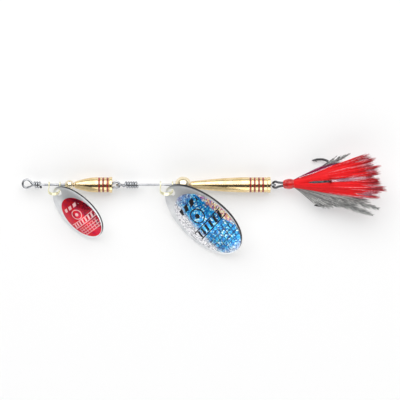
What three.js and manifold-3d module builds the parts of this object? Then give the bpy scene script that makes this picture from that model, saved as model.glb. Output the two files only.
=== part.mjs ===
// In-line tandem spinner. Two wire shafts are linked by their eyes. Each carries a clevis with a domed
// blade, a bead and a turned brass body, and a treble hook dressed with feathers hangs from the last eye.
// The lure lies on a table: millimetres, +Z up, line tie towards -X, feathers towards +X.

import * as THREE from 'three';
import { mergeVertices } from 'three/addons/utils/BufferGeometryUtils.js';
import Module from 'manifold-3d';

// Driving dimensions. Stations along the lure are measured from the tip of the line tie, and heights and
// side distances from the axis of the wires.
const WIRE_R = 0.35;        // stainless shaft wire
const BORE_R = 0.5;         // bore of everything that turns on a wire
const LINK_R = 0.92;        // centreline radius of the three link eyes
const LINK_PLAY = 0.1;      // clearance where one eye hangs in the next
const WRAP_R = 0.77;        // centreline radius of the wire wraps
const WRAP_PITCH = 0.78;
const TIE_NECK = 3.9;       // station where the line tie's loop meets its wraps
const TIE_TURNS = 2.75;
const SHAFT_TURNS = 5;      // wraps behind the rear shaft's front eye
const LACQUER_GAP = 0.05;   // between the lacquer and its groove
const GROOVE = { width: 0.6, depth: 0.32 };
const COUNTERBORE_R = 1.75;

const FRONT = {
  name: 'front',
  blade: {
    length: 20.5, width: 12.6, camber: 1.6, thickness: 0.45, taper: 0.1, holeInset: 1.75, holeR: 0.95,
  },
  pose: { heading: 48.3, pitch: -9, roll: 37 },
  foil: { length: 15.5, width: 10.2, towardsTip: 2.0, towardsBody: 0.4 },
  clevis: { x: 10.35, bow: 1.7, rise: 3.75, thickness: 0.35, width: 0.9, earR: 1.0 },
  bead: { x: 15.0, radius: 1.5, halfLength: 1.35 },
  body: { start: 16.6, shoulder: 23.6, end: 28.4, noseR: 1.0, bellyR: 2.38, rimR: 2.5, counterbore: 1.9 },
  grooves: [24.4, 25.65, 27.0],
};
const REAR = {
  name: 'rear',
  blade: {
    length: 29.3, width: 17.7, camber: 2.3, thickness: 0.5, taper: 0.1, holeInset: 1.95, holeR: 1.1,
  },
  pose: { heading: 41.3, pitch: -2.2, roll: 37 },
  foil: { length: 24.6, width: 15.6, towardsTip: 2.1, towardsBody: 0.3 },
  clevis: { x: 45.45, bow: 1.9, rise: 3.8, thickness: 0.38, width: 1.0, earR: 1.1 },
  bead: { x: 50.65, radius: 2.6, halfLength: 2.35 },
  body: { start: 53.15, shoulder: 71.2, end: 78.0, noseR: 1.1, bellyR: 2.4, rimR: 2.5, counterbore: 2.3 },
  grooves: [71.75, 73.05, 74.4, 75.7],
};
const FOIL = { gap: 0.06, thickness: 0.14 };

const FRONT_EYE_X = FRONT.body.end + 1.4;                            // centre of the front shaft's rear eye
const LINK_PIVOT_X = FRONT_EYE_X + LINK_R - 2 * WIRE_R - LINK_PLAY;  // front bend of the eye hung in it
const SHAFT_EYE_X = LINK_PIVOT_X + LINK_R;                           // centre of the rear shaft's front eye
const HOOK_EYE_X = REAR.body.end + 0.55;                             // centre of the rear shaft's rear eye

const HOOK = {
  wireR: 0.36, eyeR: 0.95, shankR: 0.55, shankStart: 2.75, bend: 14.9, reach: 8.4, barbStart: 13.4,
  point: 12.2, tilt: 9, yaw: 3, angles: [-30, 210, 90],
};
const HOOK_PIVOT_X = HOOK_EYE_X + LINK_R - WIRE_R - HOOK.wireR - 0.07;  // front bend of the treble's eye
const HEAD = { start: 3.45, end: 7.15, bore: 1.0, endR: 1.2, middleR: 1.56 };

const X = new THREE.Vector3(1, 0, 0);
const Z = new THREE.Vector3(0, 0, 1);
const rad = THREE.MathUtils.degToRad;
const wasm = await Module();
wasm.setup();

// ---- finishes ----
function finish(color, roughness, metalness) {
  return new THREE.MeshStandardMaterial({ color, roughness, metalness });
}

const steel = () => finish(0xb9bcc0, 0.25, 1);
const nickel = () => finish(0x3b3a3d, 0.3, 1);
const brass = () => finish(0xd9b36a, 0.2, 1);
const paleBrass = () => finish(0xe6dba0, 0.35, 1);
const bladeSilver = () => finish(0xd6d8da, 0.3, 1);
const redFoil = () => finish(0xc8102e, 0.25, 0.8);
const blueFoil = () => finish(0x2b8fd0, 0.25, 0.8);
const redLacquer = () => finish(0x9c1712, 0.3, 0);
const redFeather = () => finish(0xd90d10, 0.8, 0);
const greyFeather = () => finish(0x55565a, 0.85, 0);

// ---- solids ----
// A closed mesh with shared vertices as a manifold solid, and back again.
function solid(geometry) {
  const bare = new THREE.BufferGeometry();
  bare.setAttribute('position', geometry.getAttribute('position'));
  if (geometry.index) bare.setIndex(geometry.index);
  const merged = mergeVertices(bare, 1e-5);
  return new wasm.Manifold(new wasm.Mesh({
    numProp: 3,
    vertProperties: new Float32Array(merged.getAttribute('position').array),
    triVerts: new Uint32Array(merged.index.array),
  }));
}

function geometryOf(manifold) {
  const mesh = manifold.getMesh();
  const geometry = new THREE.BufferGeometry();
  geometry.setAttribute('position', new THREE.BufferAttribute(Float32Array.from(mesh.vertProperties), 3));
  geometry.setIndex(new THREE.BufferAttribute(Uint32Array.from(mesh.triVerts), 1));
  return geometry;
}

const join = (...pieces) => geometryOf(pieces.map(solid).reduce((all, piece) => all.add(piece)));

function cut(body, ...tools) {
  return geometryOf(tools.map(solid).reduce((left, tool) => left.subtract(tool), solid(body)));
}

// A body of revolution about X from [radius, station] points. A bored profile closes on itself.
function turned(profile, segments = 24) {
  const points = profile.map(([radius, x]) => new THREE.Vector2(radius, x));
  return new THREE.LatheGeometry(points, segments).rotateZ(-Math.PI / 2);
}

function rod(radius, from, to, sides = 16) {
  const geometry = new THREE.CylinderGeometry(radius, radius, to - from, sides);
  return geometry.rotateZ(-Math.PI / 2).translate((from + to) / 2, 0, 0);
}

// Round wire along a smooth curve through the points, in steps of about the given length.
function wire(points, radius, step = 0.45, sides = 8) {
  const path = new THREE.CatmullRomCurve3(points, false, 'centripetal');
  const section = new THREE.Shape(new THREE.EllipseCurve(0, 0, radius, radius).getPoints(sides).slice(0, -1));
  const steps = Math.round(path.getLength() / step);
  return new THREE.ExtrudeGeometry(section, { extrudePath: path, steps, bevelEnabled: false });
}

// Points on a circle about (x, 0) from one angle to the other, in the plane of X and the side direction.
function ring(x, radius, side, from, to, count = 9) {
  return Array.from({ length: count }, (_, i) => {
    const angle = rad(from + (to - from) * i / (count - 1));
    const along = X.clone().multiplyScalar(x + radius * Math.cos(angle));
    return along.addScaledVector(side, radius * Math.sin(angle));
  });
}

// Points of wraps about the X axis: they start on +Z and advance along X.
function wraps(start, turns) {
  const count = Math.round(turns * 10);
  return Array.from({ length: count + 1 }, (_, i) => {
    const turn = turns * i / count;
    const angle = rad(90 - 360 * turn);
    return new THREE.Vector3(
      start + WRAP_PITCH * turn, WRAP_R * Math.cos(angle), WRAP_R * Math.sin(angle),
    );
  });
}

// A thin shell over a closed outline. height(u, v) is its lower face, and both faces share the outline.
function shell(outline, centre, height, thickness, rings, segments) {
  const positions = [];
  const faces = [];
  for (const top of [0, 1]) {
    positions.push(centre.x, centre.y, height(centre.x, centre.y) + top * thickness);
    for (let r = 1; r <= rings; r += 1) {
      for (let s = 0; s < segments; s += 1) {
        const edge = outline(2 * Math.PI * s / segments);
        const u = centre.x + (edge.x - centre.x) * r / rings;
        const v = centre.y + (edge.y - centre.y) * r / rings;
        positions.push(u, v, height(u, v) + top * thickness);
      }
    }
  }
  const layer = 1 + rings * segments;
  const index = (top, r, s) => top * layer + (r === 0 ? 0 : 1 + (r - 1) * segments + s % segments);
  const quad = (a, b, c, d) => faces.push(a, b, c, a, c, d);
  for (let s = 0; s < segments; s += 1) {
    faces.push(index(1, 0, 0), index(1, 1, s), index(1, 1, s + 1));
    faces.push(index(0, 0, 0), index(0, 1, s + 1), index(0, 1, s));
    for (let r = 1; r < rings; r += 1) {
      quad(index(1, r, s), index(1, r + 1, s), index(1, r + 1, s + 1), index(1, r, s + 1));
      quad(index(0, r, s), index(0, r, s + 1), index(0, r + 1, s + 1), index(0, r + 1, s));
    }
    quad(index(0, rings, s), index(0, rings, s + 1), index(1, rings, s + 1), index(1, rings, s));
  }
  const geometry = new THREE.BufferGeometry();
  geometry.setAttribute('position', new THREE.Float32BufferAttribute(positions, 3));
  geometry.setIndex(faces);
  return geometry;
}

function part(name, geometry, material) {
  const mesh = new THREE.Mesh(geometry, material);
  mesh.name = name;
  return mesh;
}

// ---- blade and foil, in the blade's own frame: u from the hole to the tip, v across, w out of the dome ----
// How far a place is from the middle of the blade: 0 in the middle and 1 on the rim.
function outwards(blade, u, v) {
  const along = (u + blade.holeInset - blade.length / 2) / (blade.length / 2);
  const across = v / (blade.width / 2 * (1 + blade.taper * along));
  return Math.min(1, Math.hypot(along, across));
}

function domeHeight(blade, u, v) {
  const dome = (q) => blade.camber * (1 - q * q) ** 1.5;
  return dome(outwards(blade, u, v)) - dome(outwards(blade, 0, 0)) - blade.thickness / 2;
}

function bladeSolid(blade) {
  const middle = new THREE.Vector2(blade.length / 2 - blade.holeInset, 0);
  const rim = (angle) => new THREE.Vector2(
    middle.x + blade.length / 2 * Math.cos(angle),
    blade.width / 2 * Math.sin(angle) * (1 + blade.taper * Math.cos(angle)),
  );
  const plate = shell(rim, middle, (u, v) => domeHeight(blade, u, v), blade.thickness, 5, 40);
  const punch = new THREE.CylinderGeometry(blade.holeR, blade.holeR, 4, 20).rotateX(Math.PI / 2);
  return cut(plate, punch);
}

function foilSolid(blade, foil) {
  const middle = new THREE.Vector2(blade.length / 2 - blade.holeInset + foil.towardsTip, foil.towardsBody);
  const rim = (angle) => new THREE.Vector2(
    middle.x + foil.length / 2 * Math.cos(angle),
    middle.y + foil.width / 2 * Math.sin(angle),
  );
  const height = (u, v) => domeHeight(blade, u, v) + blade.thickness + FOIL.gap;
  return shell(rim, middle, height, FOIL.thickness, 4, 32);
}

// The blade's directions from its heading in plan, its pitch and its roll about its length.
function bladeDirections({ heading, pitch, roll }) {
  const tilt = new THREE.Euler(rad(roll), rad(-pitch), rad(-heading), 'ZYX');
  const turn = new THREE.Matrix4().makeRotationFromEuler(tilt);
  const [length, width, normal] = [new THREE.Vector3(), new THREE.Vector3(), new THREE.Vector3()];
  turn.extractBasis(length, width, normal);
  return { length, width, normal };
}

// The clevis lies in the plane of the wire and the blade's normal. Its bow passes square through the hole.
function clevisFrame(unit) {
  const { length, width, normal } = bladeDirections(unit.pose);
  const out = normal.clone().addScaledVector(X, -normal.x).normalize();
  const hinge = X.clone().cross(out);
  const centre = X.clone().multiplyScalar(unit.clevis.x).addScaledVector(out, unit.clevis.rise);
  const hole = centre.clone()
    .addScaledVector(X, unit.clevis.bow * normal.dot(out))
    .addScaledVector(out, -unit.clevis.bow * normal.x);
  return { length, width, normal, out, hinge, centre, hole };
}

function placedBlade(unit, geometry) {
  const { length, width, normal, hole } = clevisFrame(unit);
  const place = new THREE.Matrix4().makeBasis(length, width, normal).setPosition(hole);
  return geometry.clone().applyMatrix4(place);
}

// A strip folded to a U with an eared hole on each leg, in its own frame: X along the wire, Y outwards.
function clevisSolid({ bow, rise, thickness, width, earR }) {
  const outer = bow + thickness / 2;
  const inner = bow - thickness / 2;
  const outline = new THREE.Shape();
  outline.moveTo(outer, 0);
  outline.absarc(0, rise, outer, 0, Math.PI, false);
  outline.lineTo(-outer, 0);
  outline.lineTo(-inner, 0);
  outline.absarc(0, rise, inner, Math.PI, 0, true);
  outline.lineTo(inner, 0);
  const strip = new THREE.ExtrudeGeometry(outline, { depth: width, curveSegments: 18, bevelEnabled: false });
  strip.translate(0, 0, -width / 2);
  const ears = [-bow, bow].map((x) => rod(earR, x - thickness / 2, x + thickness / 2, 20));
  return cut(join(strip, ...ears), rod(BORE_R, -bow - 1, bow + 1, 16));
}

function placedClevis(unit) {
  const { out, hinge } = clevisFrame(unit);
  const place = new THREE.Matrix4().makeBasis(X, out, hinge).setPosition(unit.clevis.x, 0, 0);
  return clevisSolid(unit.clevis).applyMatrix4(place);
}

// ---- turned parts ----
function beadSolid({ x, radius, halfLength }) {
  const arc = Array.from({ length: 9 }, (_, i) => {
    const station = halfLength * (i / 4 - 1);
    return [Math.sqrt(radius ** 2 - station ** 2), x + station];
  });
  const bore = [[BORE_R, x + halfLength], [BORE_R, x - halfLength]];
  return turned([bore[1], ...arc, ...bore]);
}

function bodySolid({ start, shoulder, end, noseR, bellyR, rimR, counterbore }, grooves) {
  const nose = Array.from({ length: 9 }, (_, i) => {
    const along = i / 8;
    return [noseR + (bellyR - noseR) * Math.sin(along * Math.PI / 2), start + (shoulder - start) * along];
  });
  const half = GROOVE.width / 2;
  const floor = bellyR - GROOVE.depth;
  const turnedGrooves = grooves.flatMap((x) => [
    [bellyR, x - half], [floor, x - half], [floor, x + half], [bellyR, x + half],
  ]);
  const rim = [[rimR, end - 0.75], [rimR, end - 0.15], [rimR - 0.15, end]];
  const inside = [
    [COUNTERBORE_R, end], [COUNTERBORE_R, end - counterbore], [BORE_R, end - counterbore],
  ];
  return turned([[BORE_R, start], ...nose, ...turnedGrooves, ...rim, ...inside, [BORE_R, start]]);
}

function lacquerRing({ bellyR }, x) {
  const half = GROOVE.width / 2 - LACQUER_GAP;
  const [inner, outer] = [bellyR - GROOVE.depth + LACQUER_GAP, bellyR - 0.02];
  const section = [[inner, x - half], [outer, x - half], [outer, x + half], [inner, x + half]];
  return turned([...section, section[0]]);
}

// ---- wire shafts ----
const at = (x, y = 0, z = 0) => new THREE.Vector3(x, y, z);

function frontWire() {
  const loop = [
    at(TIE_NECK + 1.2), at(TIE_NECK + 0.3), at(3.35, 0.3), at(2.75, 1.05), at(1.95, 1.6), at(1.05, 1.5),
    at(0.45, 0.85), at(0.38, 0.05), at(0.75, -0.65), at(1.45, -0.9, 0.05), at(2.3, -0.72, 0.25),
    at(3.1, -0.45, 0.6),
  ];
  const tie = wire([...loop, ...wraps(TIE_NECK, TIE_TURNS)], WIRE_R, 0.42);
  const eye = wire([
    at(FRONT_EYE_X - 3.2), at(FRONT_EYE_X - 2.4), at(FRONT_EYE_X - 1.5, 0.35),
    ...ring(FRONT_EYE_X, LINK_R, new THREE.Vector3(0, 1, 0), 125, -125),
    at(FRONT_EYE_X - 1.4, -0.98), at(FRONT_EYE_X - 2.6, -1.02),
  ], WIRE_R, 0.42);
  return join(rod(WIRE_R + 0.01, TIE_NECK + 0.8, FRONT_EYE_X - 2.8, 12), tie, eye);
}

function rearWire() {
  const wrapStart = SHAFT_EYE_X + 1.75;
  const front = wire([
    ...wraps(wrapStart, SHAFT_TURNS).reverse(),
    at(wrapStart - 0.35, -0.45, 0.78),
    ...ring(SHAFT_EYE_X, LINK_R, Z, 50, 310),
    at(SHAFT_EYE_X + 1.25, 0, -0.35), at(wrapStart + 0.4), at(wrapStart + 1.4),
  ], WIRE_R, 0.42);
  const eye = wire([
    at(HOOK_EYE_X - 3.4), at(HOOK_EYE_X - 2.5), at(HOOK_EYE_X - 1.5, 0, 0.4),
    ...ring(HOOK_EYE_X, LINK_R, Z, 125, -125),
    at(HOOK_EYE_X - 1.4, 0, -0.98), at(HOOK_EYE_X - 2.5, 0, -1.02),
  ], WIRE_R, 0.42);
  return join(rod(WIRE_R + 0.01, wrapStart + 0.9, HOOK_EYE_X - 2.9, 12), front, eye);
}

// ---- treble hook, in its own frame: X along the shank from the front bend of the eye ----
// Points down a shank, round the bend and along the point's leg, at an angle about the shank.
function hookPoints(angle) {
  const out = new THREE.Vector3(0, Math.cos(rad(angle)), Math.sin(rad(angle)));
  const bendR = (HOOK.reach - HOOK.shankR) / 2;
  const place = (x, radius) => at(x).addScaledVector(out, radius);
  const bend = Array.from({ length: 9 }, (_, i) => {
    const turn = rad(-90 + 180 * i / 8);
    return place(HOOK.bend + bendR * Math.cos(turn), HOOK.shankR + bendR + bendR * Math.sin(turn));
  });
  const shank = [HOOK.shankStart + 0.6, 6, 10, 13.4].map((x) => place(x, HOOK.shankR));
  return { points: [...shank, ...bend, place(HOOK.barbStart, HOOK.reach - 0.05)], place };
}

function hookPoint({ place }) {
  const tip = new THREE.ConeGeometry(HOOK.wireR, HOOK.barbStart - HOOK.point + 0.1, 8);
  const [base, end] = [place(HOOK.barbStart + 0.1, HOOK.reach - 0.05), place(HOOK.point, HOOK.reach - 0.2)];
  const turn = new THREE.Quaternion().setFromUnitVectors(at(0, 1, 0), end.clone().sub(base).normalize());
  return tip.applyQuaternion(turn).translate(...base.add(end).multiplyScalar(0.5).toArray());
}

function doubleHook() {
  const [left, right] = HOOK.angles.slice(0, 2).map(hookPoints);
  const eye = ring(HOOK.eyeR, HOOK.eyeR, new THREE.Vector3(0, 1, 0), 52, 308, 11);
  const path = [...left.points.toReversed(), ...eye, ...right.points];
  return join(wire(path, HOOK.wireR, 0.75), hookPoint(left), hookPoint(right));
}

function singleHook() {
  const hook = hookPoints(HOOK.angles[2]);
  return join(wire(hook.points, HOOK.wireR, 0.75), hookPoint(hook));
}

function threadHead() {
  const { start, end, bore, endR, middleR } = HEAD;
  const span = end - start;
  const barrel = [[endR, start], [middleR, start + span * 0.22], [middleR, end - span * 0.25], [endR, end]];
  return turned([[bore, start], ...barrel, [bore, end], [bore, start]]);
}

// ---- feathers: flat tufts about the shank. Outlines are [station, side distance] in a plane that is
// turned about the shank by roll and lifted off it, so they clear the shank and all three hooks. ----
const TUFTS = [
  {
    name: 'red_feather_top', material: redFeather, roll: -4, lift: 1.0, thickness: 1.0,
    outline: [[7.6, 1.25], [7.6, 1.6], [11, 3.5], [14.5, 5.1], [20.3, 6.1], [24, 6.8], [29.4, 8.5],
      [31.4, 6.3], [32.4, 4.7], [19, 3.1]],
  },
  {
    name: 'red_feather_upper', material: redFeather, roll: -4, lift: 1.0, thickness: 1.0,
    outline: [[7.6, 0.75], [7.6, 0.95], [19, 2.75], [32.5, 4.3], [33.5, 2.2], [31.4, 1.4], [31.0, 0.3],
      [20.0, 0.3], [19.6, 0.75]],
  },
  {
    name: 'red_feather_lower', material: redFeather, roll: 4, lift: 1.75, thickness: 1.0,
    outline: [[7.6, -0.75], [19.6, -0.75], [20.0, -0.1], [32.6, 0.0], [36.2, -2.9], [33.2, -3.4], [19, -2.1],
      [7.6, -0.95]],
  },
  {
    name: 'red_feather_bottom', material: redFeather, roll: 4, lift: 1.75, thickness: 1.0,
    outline: [[7.6, -1.25], [19, -2.45], [33.0, -3.8], [31, -6.4], [26.5, -5.2], [21.8, -4.1], [14, -3.0],
      [8.6, -1.75]],
  },
  {
    name: 'grey_feather_low', material: greyFeather, roll: 10, lift: 0.75, thickness: 0.7,
    outline: [[7.6, -1.1], [24, -4.4], [31.9, -9.4], [27, -7.7], [22, -6.2], [13.5, -3.4], [7.6, -1.75]],
  },
  {
    name: 'grey_feather_side', material: greyFeather, roll: 10, lift: 0.75, thickness: 0.7,
    outline: [[7.6, -2.1], [13.5, -3.8], [22, -6.6], [26, -7.7], [30.6, -11.4], [24, -9.4], [19.4, -7.7],
      [14, -6.6], [10.5, -4.8]],
  },
  {
    name: 'dark_feather_top', material: greyFeather, roll: -7, lift: 0.35, thickness: 0.45,
    outline: [[7.6, 1.35], [10.5, 3.5], [14, 5.1], [17.4, 6.0], [20.2, 6.7], [23.6, 8.4], [22.4, 6.4], [17, 4.4],
      [11, 2.3]],
  },
];

function tuft({ outline, thickness, lift, roll }) {
  const shape = new THREE.Shape(outline.map(([x, y]) => new THREE.Vector2(x, y)));
  const flat = new THREE.ExtrudeGeometry(shape, { depth: thickness, bevelEnabled: false });
  return flat.translate(0, 0, lift).rotateX(rad(roll));
}

// ---- assembly ----
const lure = new THREE.Group();

for (const unit of [FRONT, REAR]) {
  const { name, blade, foil, bead, body, grooves } = unit;
  const foilFinish = unit === FRONT ? redFoil() : blueFoil();
  lure.add(
    part(`${name}_clevis`, placedClevis(unit), paleBrass()),
    part(`${name}_blade`, placedBlade(unit, bladeSolid(blade)), bladeSilver()),
    part(`${name}_foil`, placedBlade(unit, foilSolid(blade, foil)), foilFinish),
    part(`${name}_bead`, beadSolid(bead), brass()),
    part(`${name}_body`, bodySolid(body, grooves), brass()),
  );
  grooves.forEach((x, i) => lure.add(part(`${name}_ring_${i + 1}`, lacquerRing(body, x), redLacquer())));
}
lure.add(part('front_wire', frontWire(), steel()), part('rear_wire', rearWire(), steel()));

const treble = new THREE.Group();
treble.add(
  part('treble_double_hook', doubleHook(), nickel()),
  part('treble_single_hook', singleHook(), nickel()),
  part('thread_head', threadHead(), redLacquer()),
);
for (const one of TUFTS) treble.add(part(one.name, tuft(one), one.material()));
treble.position.set(HOOK_PIVOT_X, 0, 0);
treble.rotation.set(0, rad(-HOOK.tilt), rad(HOOK.yaw), 'YZX');
lure.add(treble);

// The origin is under the middle of the lure, on the table.
lure.updateMatrixWorld(true);
const box = new THREE.Box3().setFromObject(lure, true);
const middle = box.getCenter(new THREE.Vector3());
lure.position.set(-middle.x, -middle.y, -box.min.z);

export default lure;
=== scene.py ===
"""In-line tandem spinner with a feather-dressed treble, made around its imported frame.

Two drawn wire shafts are linked by their eyes. Each carries a folded clevis with a pressed blade, a turned
bead and a turned brass body with lacquered grooves. A treble hook with a bound and lacquered head, red and
grey hackles and tinsel hangs from the last eye. Sizes are in millimetres until a piece is placed.
"""

import logging  # noqa: E402
import math  # noqa: E402
from dataclasses import dataclass, field  # noqa: E402
from enum import Enum  # noqa: E402
from typing import Any, Callable, Union  # noqa: E402

import bmesh  # noqa: E402
import bpy  # noqa: E402
import numpy as np  # noqa: E402
from mathutils import Matrix, Vector  # noqa: E402
from mathutils.geometry import delaunay_2d_cdt  # noqa: E402


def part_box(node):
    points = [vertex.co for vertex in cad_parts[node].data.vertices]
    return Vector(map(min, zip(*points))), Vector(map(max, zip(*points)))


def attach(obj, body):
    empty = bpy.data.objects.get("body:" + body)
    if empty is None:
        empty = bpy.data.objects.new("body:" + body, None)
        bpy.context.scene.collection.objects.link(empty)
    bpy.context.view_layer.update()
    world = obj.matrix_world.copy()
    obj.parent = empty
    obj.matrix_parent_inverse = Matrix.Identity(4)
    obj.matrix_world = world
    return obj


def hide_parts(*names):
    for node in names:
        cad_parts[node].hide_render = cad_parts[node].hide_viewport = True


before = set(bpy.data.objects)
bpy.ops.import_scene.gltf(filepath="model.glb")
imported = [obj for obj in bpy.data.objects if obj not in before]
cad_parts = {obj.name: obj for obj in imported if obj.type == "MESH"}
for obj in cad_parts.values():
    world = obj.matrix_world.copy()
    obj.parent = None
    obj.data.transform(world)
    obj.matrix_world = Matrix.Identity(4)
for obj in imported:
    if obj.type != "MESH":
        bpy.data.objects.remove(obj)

LOG = logging.getLogger("spinner")
MM = 0.001
SOFT_EDGE = 50.0  # degrees, over which an edge of a drawn or pressed piece stays sharp
Colour = tuple[float, float, float]
Point = tuple[float, float, float]
Number = Union[float, int, "Field"]


# ---- node trees: expressions on values, and one method for every other node ----


class Field:
    """A value of a node tree that Python's operators work on, each adding its Math node."""

    def __init__(self, maker: "NodeMaker", socket: bpy.types.NodeSocket) -> None:
        """Wraps a socket.

        Args:
            maker: The maker of the tree that the socket belongs to.
            socket: The output that carries the value.
        """
        self.maker = maker
        self.socket = socket

    def _math(self, operation: str, *values: Number) -> "Field":
        """Adds a Math node and returns its value."""
        return self.maker.math(operation, *values)

    def __add__(self, other: Number) -> "Field":
        """Sum."""
        return self._math("ADD", self, other)

    def __sub__(self, other: Number) -> "Field":
        """Difference."""
        return self._math("SUBTRACT", self, other)

    def __mul__(self, other: Number) -> "Field":
        """Product."""
        return self._math("MULTIPLY", self, other)

    def __truediv__(self, other: Number) -> "Field":
        """Quotient."""
        return self._math("DIVIDE", self, other)

    def __pow__(self, other: Number) -> "Field":
        """Power."""
        return self._math("POWER", self, other)

    def __rsub__(self, other: Number) -> "Field":
        """Difference from a number."""
        return self._math("SUBTRACT", other, self)

    __radd__ = __add__
    __rmul__ = __mul__

    def under(self, limit: Number) -> "Field":
        """1 where the value is under the limit, otherwise 0."""
        return self._math("LESS_THAN", self, limit)

    def over(self, limit: Number) -> "Field":
        """1 where the value is over the limit, otherwise 0."""
        return self._math("GREATER_THAN", self, limit)

    def between(self, low: float, high: float) -> "Field":
        """1 from low to high, otherwise 0."""
        return self.over(low) * self.under(high)

    def least(self, other: Number) -> "Field":
        """The smaller of two values."""
        return self._math("MINIMUM", self, other)

    def most(self, other: Number) -> "Field":
        """The larger of two values."""
        return self._math("MAXIMUM", self, other)

    def size(self) -> "Field":
        """The value without its sign."""
        return self._math("ABSOLUTE", self)

    def part(self) -> "Field":
        """What is left of the value past the whole number under it."""
        return self._math("FRACT", self)

    def ramp(self, low: float, high: float) -> "Field":
        """A soft step from 0 at low to 1 at high."""
        node = self.maker.node(
            "ShaderNodeMapRange",
            {"interpolation_type": "SMOOTHSTEP"},
            {"Value": self, "From Min": low, "From Max": high},
        )
        return Field(self.maker, node.outputs["Result"])


class NodeMaker:
    """Adds the nodes of one tree."""

    def __init__(self, tree: bpy.types.NodeTree) -> None:
        """Keeps the tree."""
        self.tree = tree

    def node(
        self, kind: str, settings: dict[str, Any] | None = None, sockets: dict[Any, Any] | None = None
    ) -> bpy.types.Node:
        """Adds a node.

        Args:
            kind: The node's type.
            settings: Its own settings, set first. "stops" are a colour ramp's (position, colour) pairs.
            sockets: Values or links for its inputs, by name or number.

        Returns:
            The node.
        """
        node = self.tree.nodes.new(kind)
        for key, value in (settings or {}).items():
            if key == "stops":
                self._stops(node.color_ramp, value)
            else:
                setattr(node, key, value)
        for key, value in (sockets or {}).items():
            self.fill(node.inputs[key], value)
        return node

    @staticmethod
    def _stops(ramp: bpy.types.ColorRamp, stops: tuple[tuple[float, Colour], ...]) -> None:
        """Sets a ramp's colours."""
        while len(ramp.elements) < len(stops):
            ramp.elements.new(0.5)
        for element, (place, colour) in zip(ramp.elements, stops):
            element.position = place
            element.color = (*colour, 1)

    def fill(self, socket: bpy.types.NodeSocket, value: Any) -> None:
        """Links a value to an input, or sets it there.

        Args:
            socket: The input.
            value: A field, an output, or a plain value.
        """
        if isinstance(value, Field):
            self.tree.links.new(value.socket, socket)
        elif isinstance(value, bpy.types.NodeSocket):
            self.tree.links.new(value, socket)
        elif socket.type == "RGBA":
            socket.default_value = (*value, 1)
        else:
            socket.default_value = value

    def math(self, operation: str, *values: Number) -> Field:
        """Adds a Math node.

        Args:
            operation: The node's operation.
            values: Its inputs in order.

        Returns:
            The result.
        """
        node = self.node("ShaderNodeMath", {"operation": operation}, dict(enumerate(values)))
        return Field(self, node.outputs[0])

    def split(self, vector: bpy.types.NodeSocket) -> tuple[Field, Field, Field]:
        """The three parts of a vector."""
        node = self.node("ShaderNodeSeparateXYZ", None, {0: vector})
        x, y, z = (Field(self, out) for out in node.outputs)
        return x, y, z

    def joined(self, x: Number, y: Number, z: Number) -> bpy.types.NodeSocket:
        """A vector of three values."""
        return self.node("ShaderNodeCombineXYZ", None, {0: x, 1: y, 2: z}).outputs[0]

    def scaled(self, vector: bpy.types.NodeSocket, scale: Colour) -> bpy.types.NodeSocket:
        """A vector times a number on each axis."""
        node = self.node("ShaderNodeVectorMath", {"operation": "MULTIPLY"}, {0: vector, 1: scale})
        return node.outputs[0]

    def mix(self, factor: Number, low: Any, high: Any) -> bpy.types.NodeSocket:
        """A colour between two.

        Args:
            factor: 0 for the first and 1 for the second.
            low: The first colour or link.
            high: The second colour or link.

        Returns:
            The mixed colour.
        """
        node = self.node("ShaderNodeMix", {"data_type": "RGBA"}, {0: factor, 6: low, 7: high})
        return node.outputs[2]

    def noise(
        self, vector: bpy.types.NodeSocket, scale: float, detail: float = 3.0, seed: float = 0.0
    ) -> Field:
        """Soft noise from 0 to 1.

        Args:
            vector: Where it is read.
            scale: Its fineness.
            detail: How many finer layers it has.
            seed: Another number gives another pattern.

        Returns:
            The noise.
        """
        sockets = {"Vector": vector, "W": seed, "Scale": scale, "Detail": detail}
        node = self.node("ShaderNodeTexNoise", {"noise_dimensions": "4D"}, sockets)
        return Field(self, node.outputs[0])

    def attribute(self, name: str) -> bpy.types.Node:
        """A mesh attribute's node."""
        return self.node("ShaderNodeAttribute", {"attribute_name": name})

    def value_of(self, name: str) -> Field:
        """A mesh attribute of single numbers."""
        return Field(self, self.attribute(name).outputs["Fac"])


class Paint(NodeMaker):
    """The node tree of one finish."""

    def __init__(self, name: str) -> None:
        """Starts an empty material.

        Args:
            name: The material's name.
        """
        self.material = bpy.data.materials.new(name)
        self.material.use_nodes = True
        super().__init__(self.material.node_tree)
        self.tree.nodes.clear()

    def place(self) -> bpy.types.NodeSocket:
        """Where a point is on the piece, in millimetres."""
        here = self.node("ShaderNodeTexCoord").outputs["Object"]
        return self.scaled(here, (1 / MM, 1 / MM, 1 / MM))

    def colours(self, factor: Field, *stops: tuple[float, Colour]) -> bpy.types.NodeSocket:
        """A colour that runs through stops.

        Args:
            factor: Where a point is on the ramp, from 0 to 1.
            stops: The ramp's (position, colour) pairs.

        Returns:
            The colour.
        """
        return self.node("ShaderNodeValToRGB", {"stops": stops}, {"Fac": factor}).outputs[0]

    def bump(self, height: Field, strength: float, depth: float) -> bpy.types.NodeSocket:
        """A normal from a height.

        Args:
            height: The height, from 0 to 1.
            strength: How much of it shows.
            depth: The depth of 1, in millimetres.

        Returns:
            The normal.
        """
        sockets = {"Strength": strength, "Distance": depth * MM, "Height": height}
        return self.node("ShaderNodeBump", None, sockets).outputs[0]

    def finish(self, sockets: dict[str, Any]) -> bpy.types.Material:
        """Ends the tree in a Principled BSDF.

        Args:
            sockets: The shader's inputs.

        Returns:
            The material.
        """
        shader = self.node("ShaderNodeBsdfPrincipled", None, sockets)
        self.node("ShaderNodeOutputMaterial", None, {"Surface": shader.outputs[0]})
        return self.material


# ---- finishes ----


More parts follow.
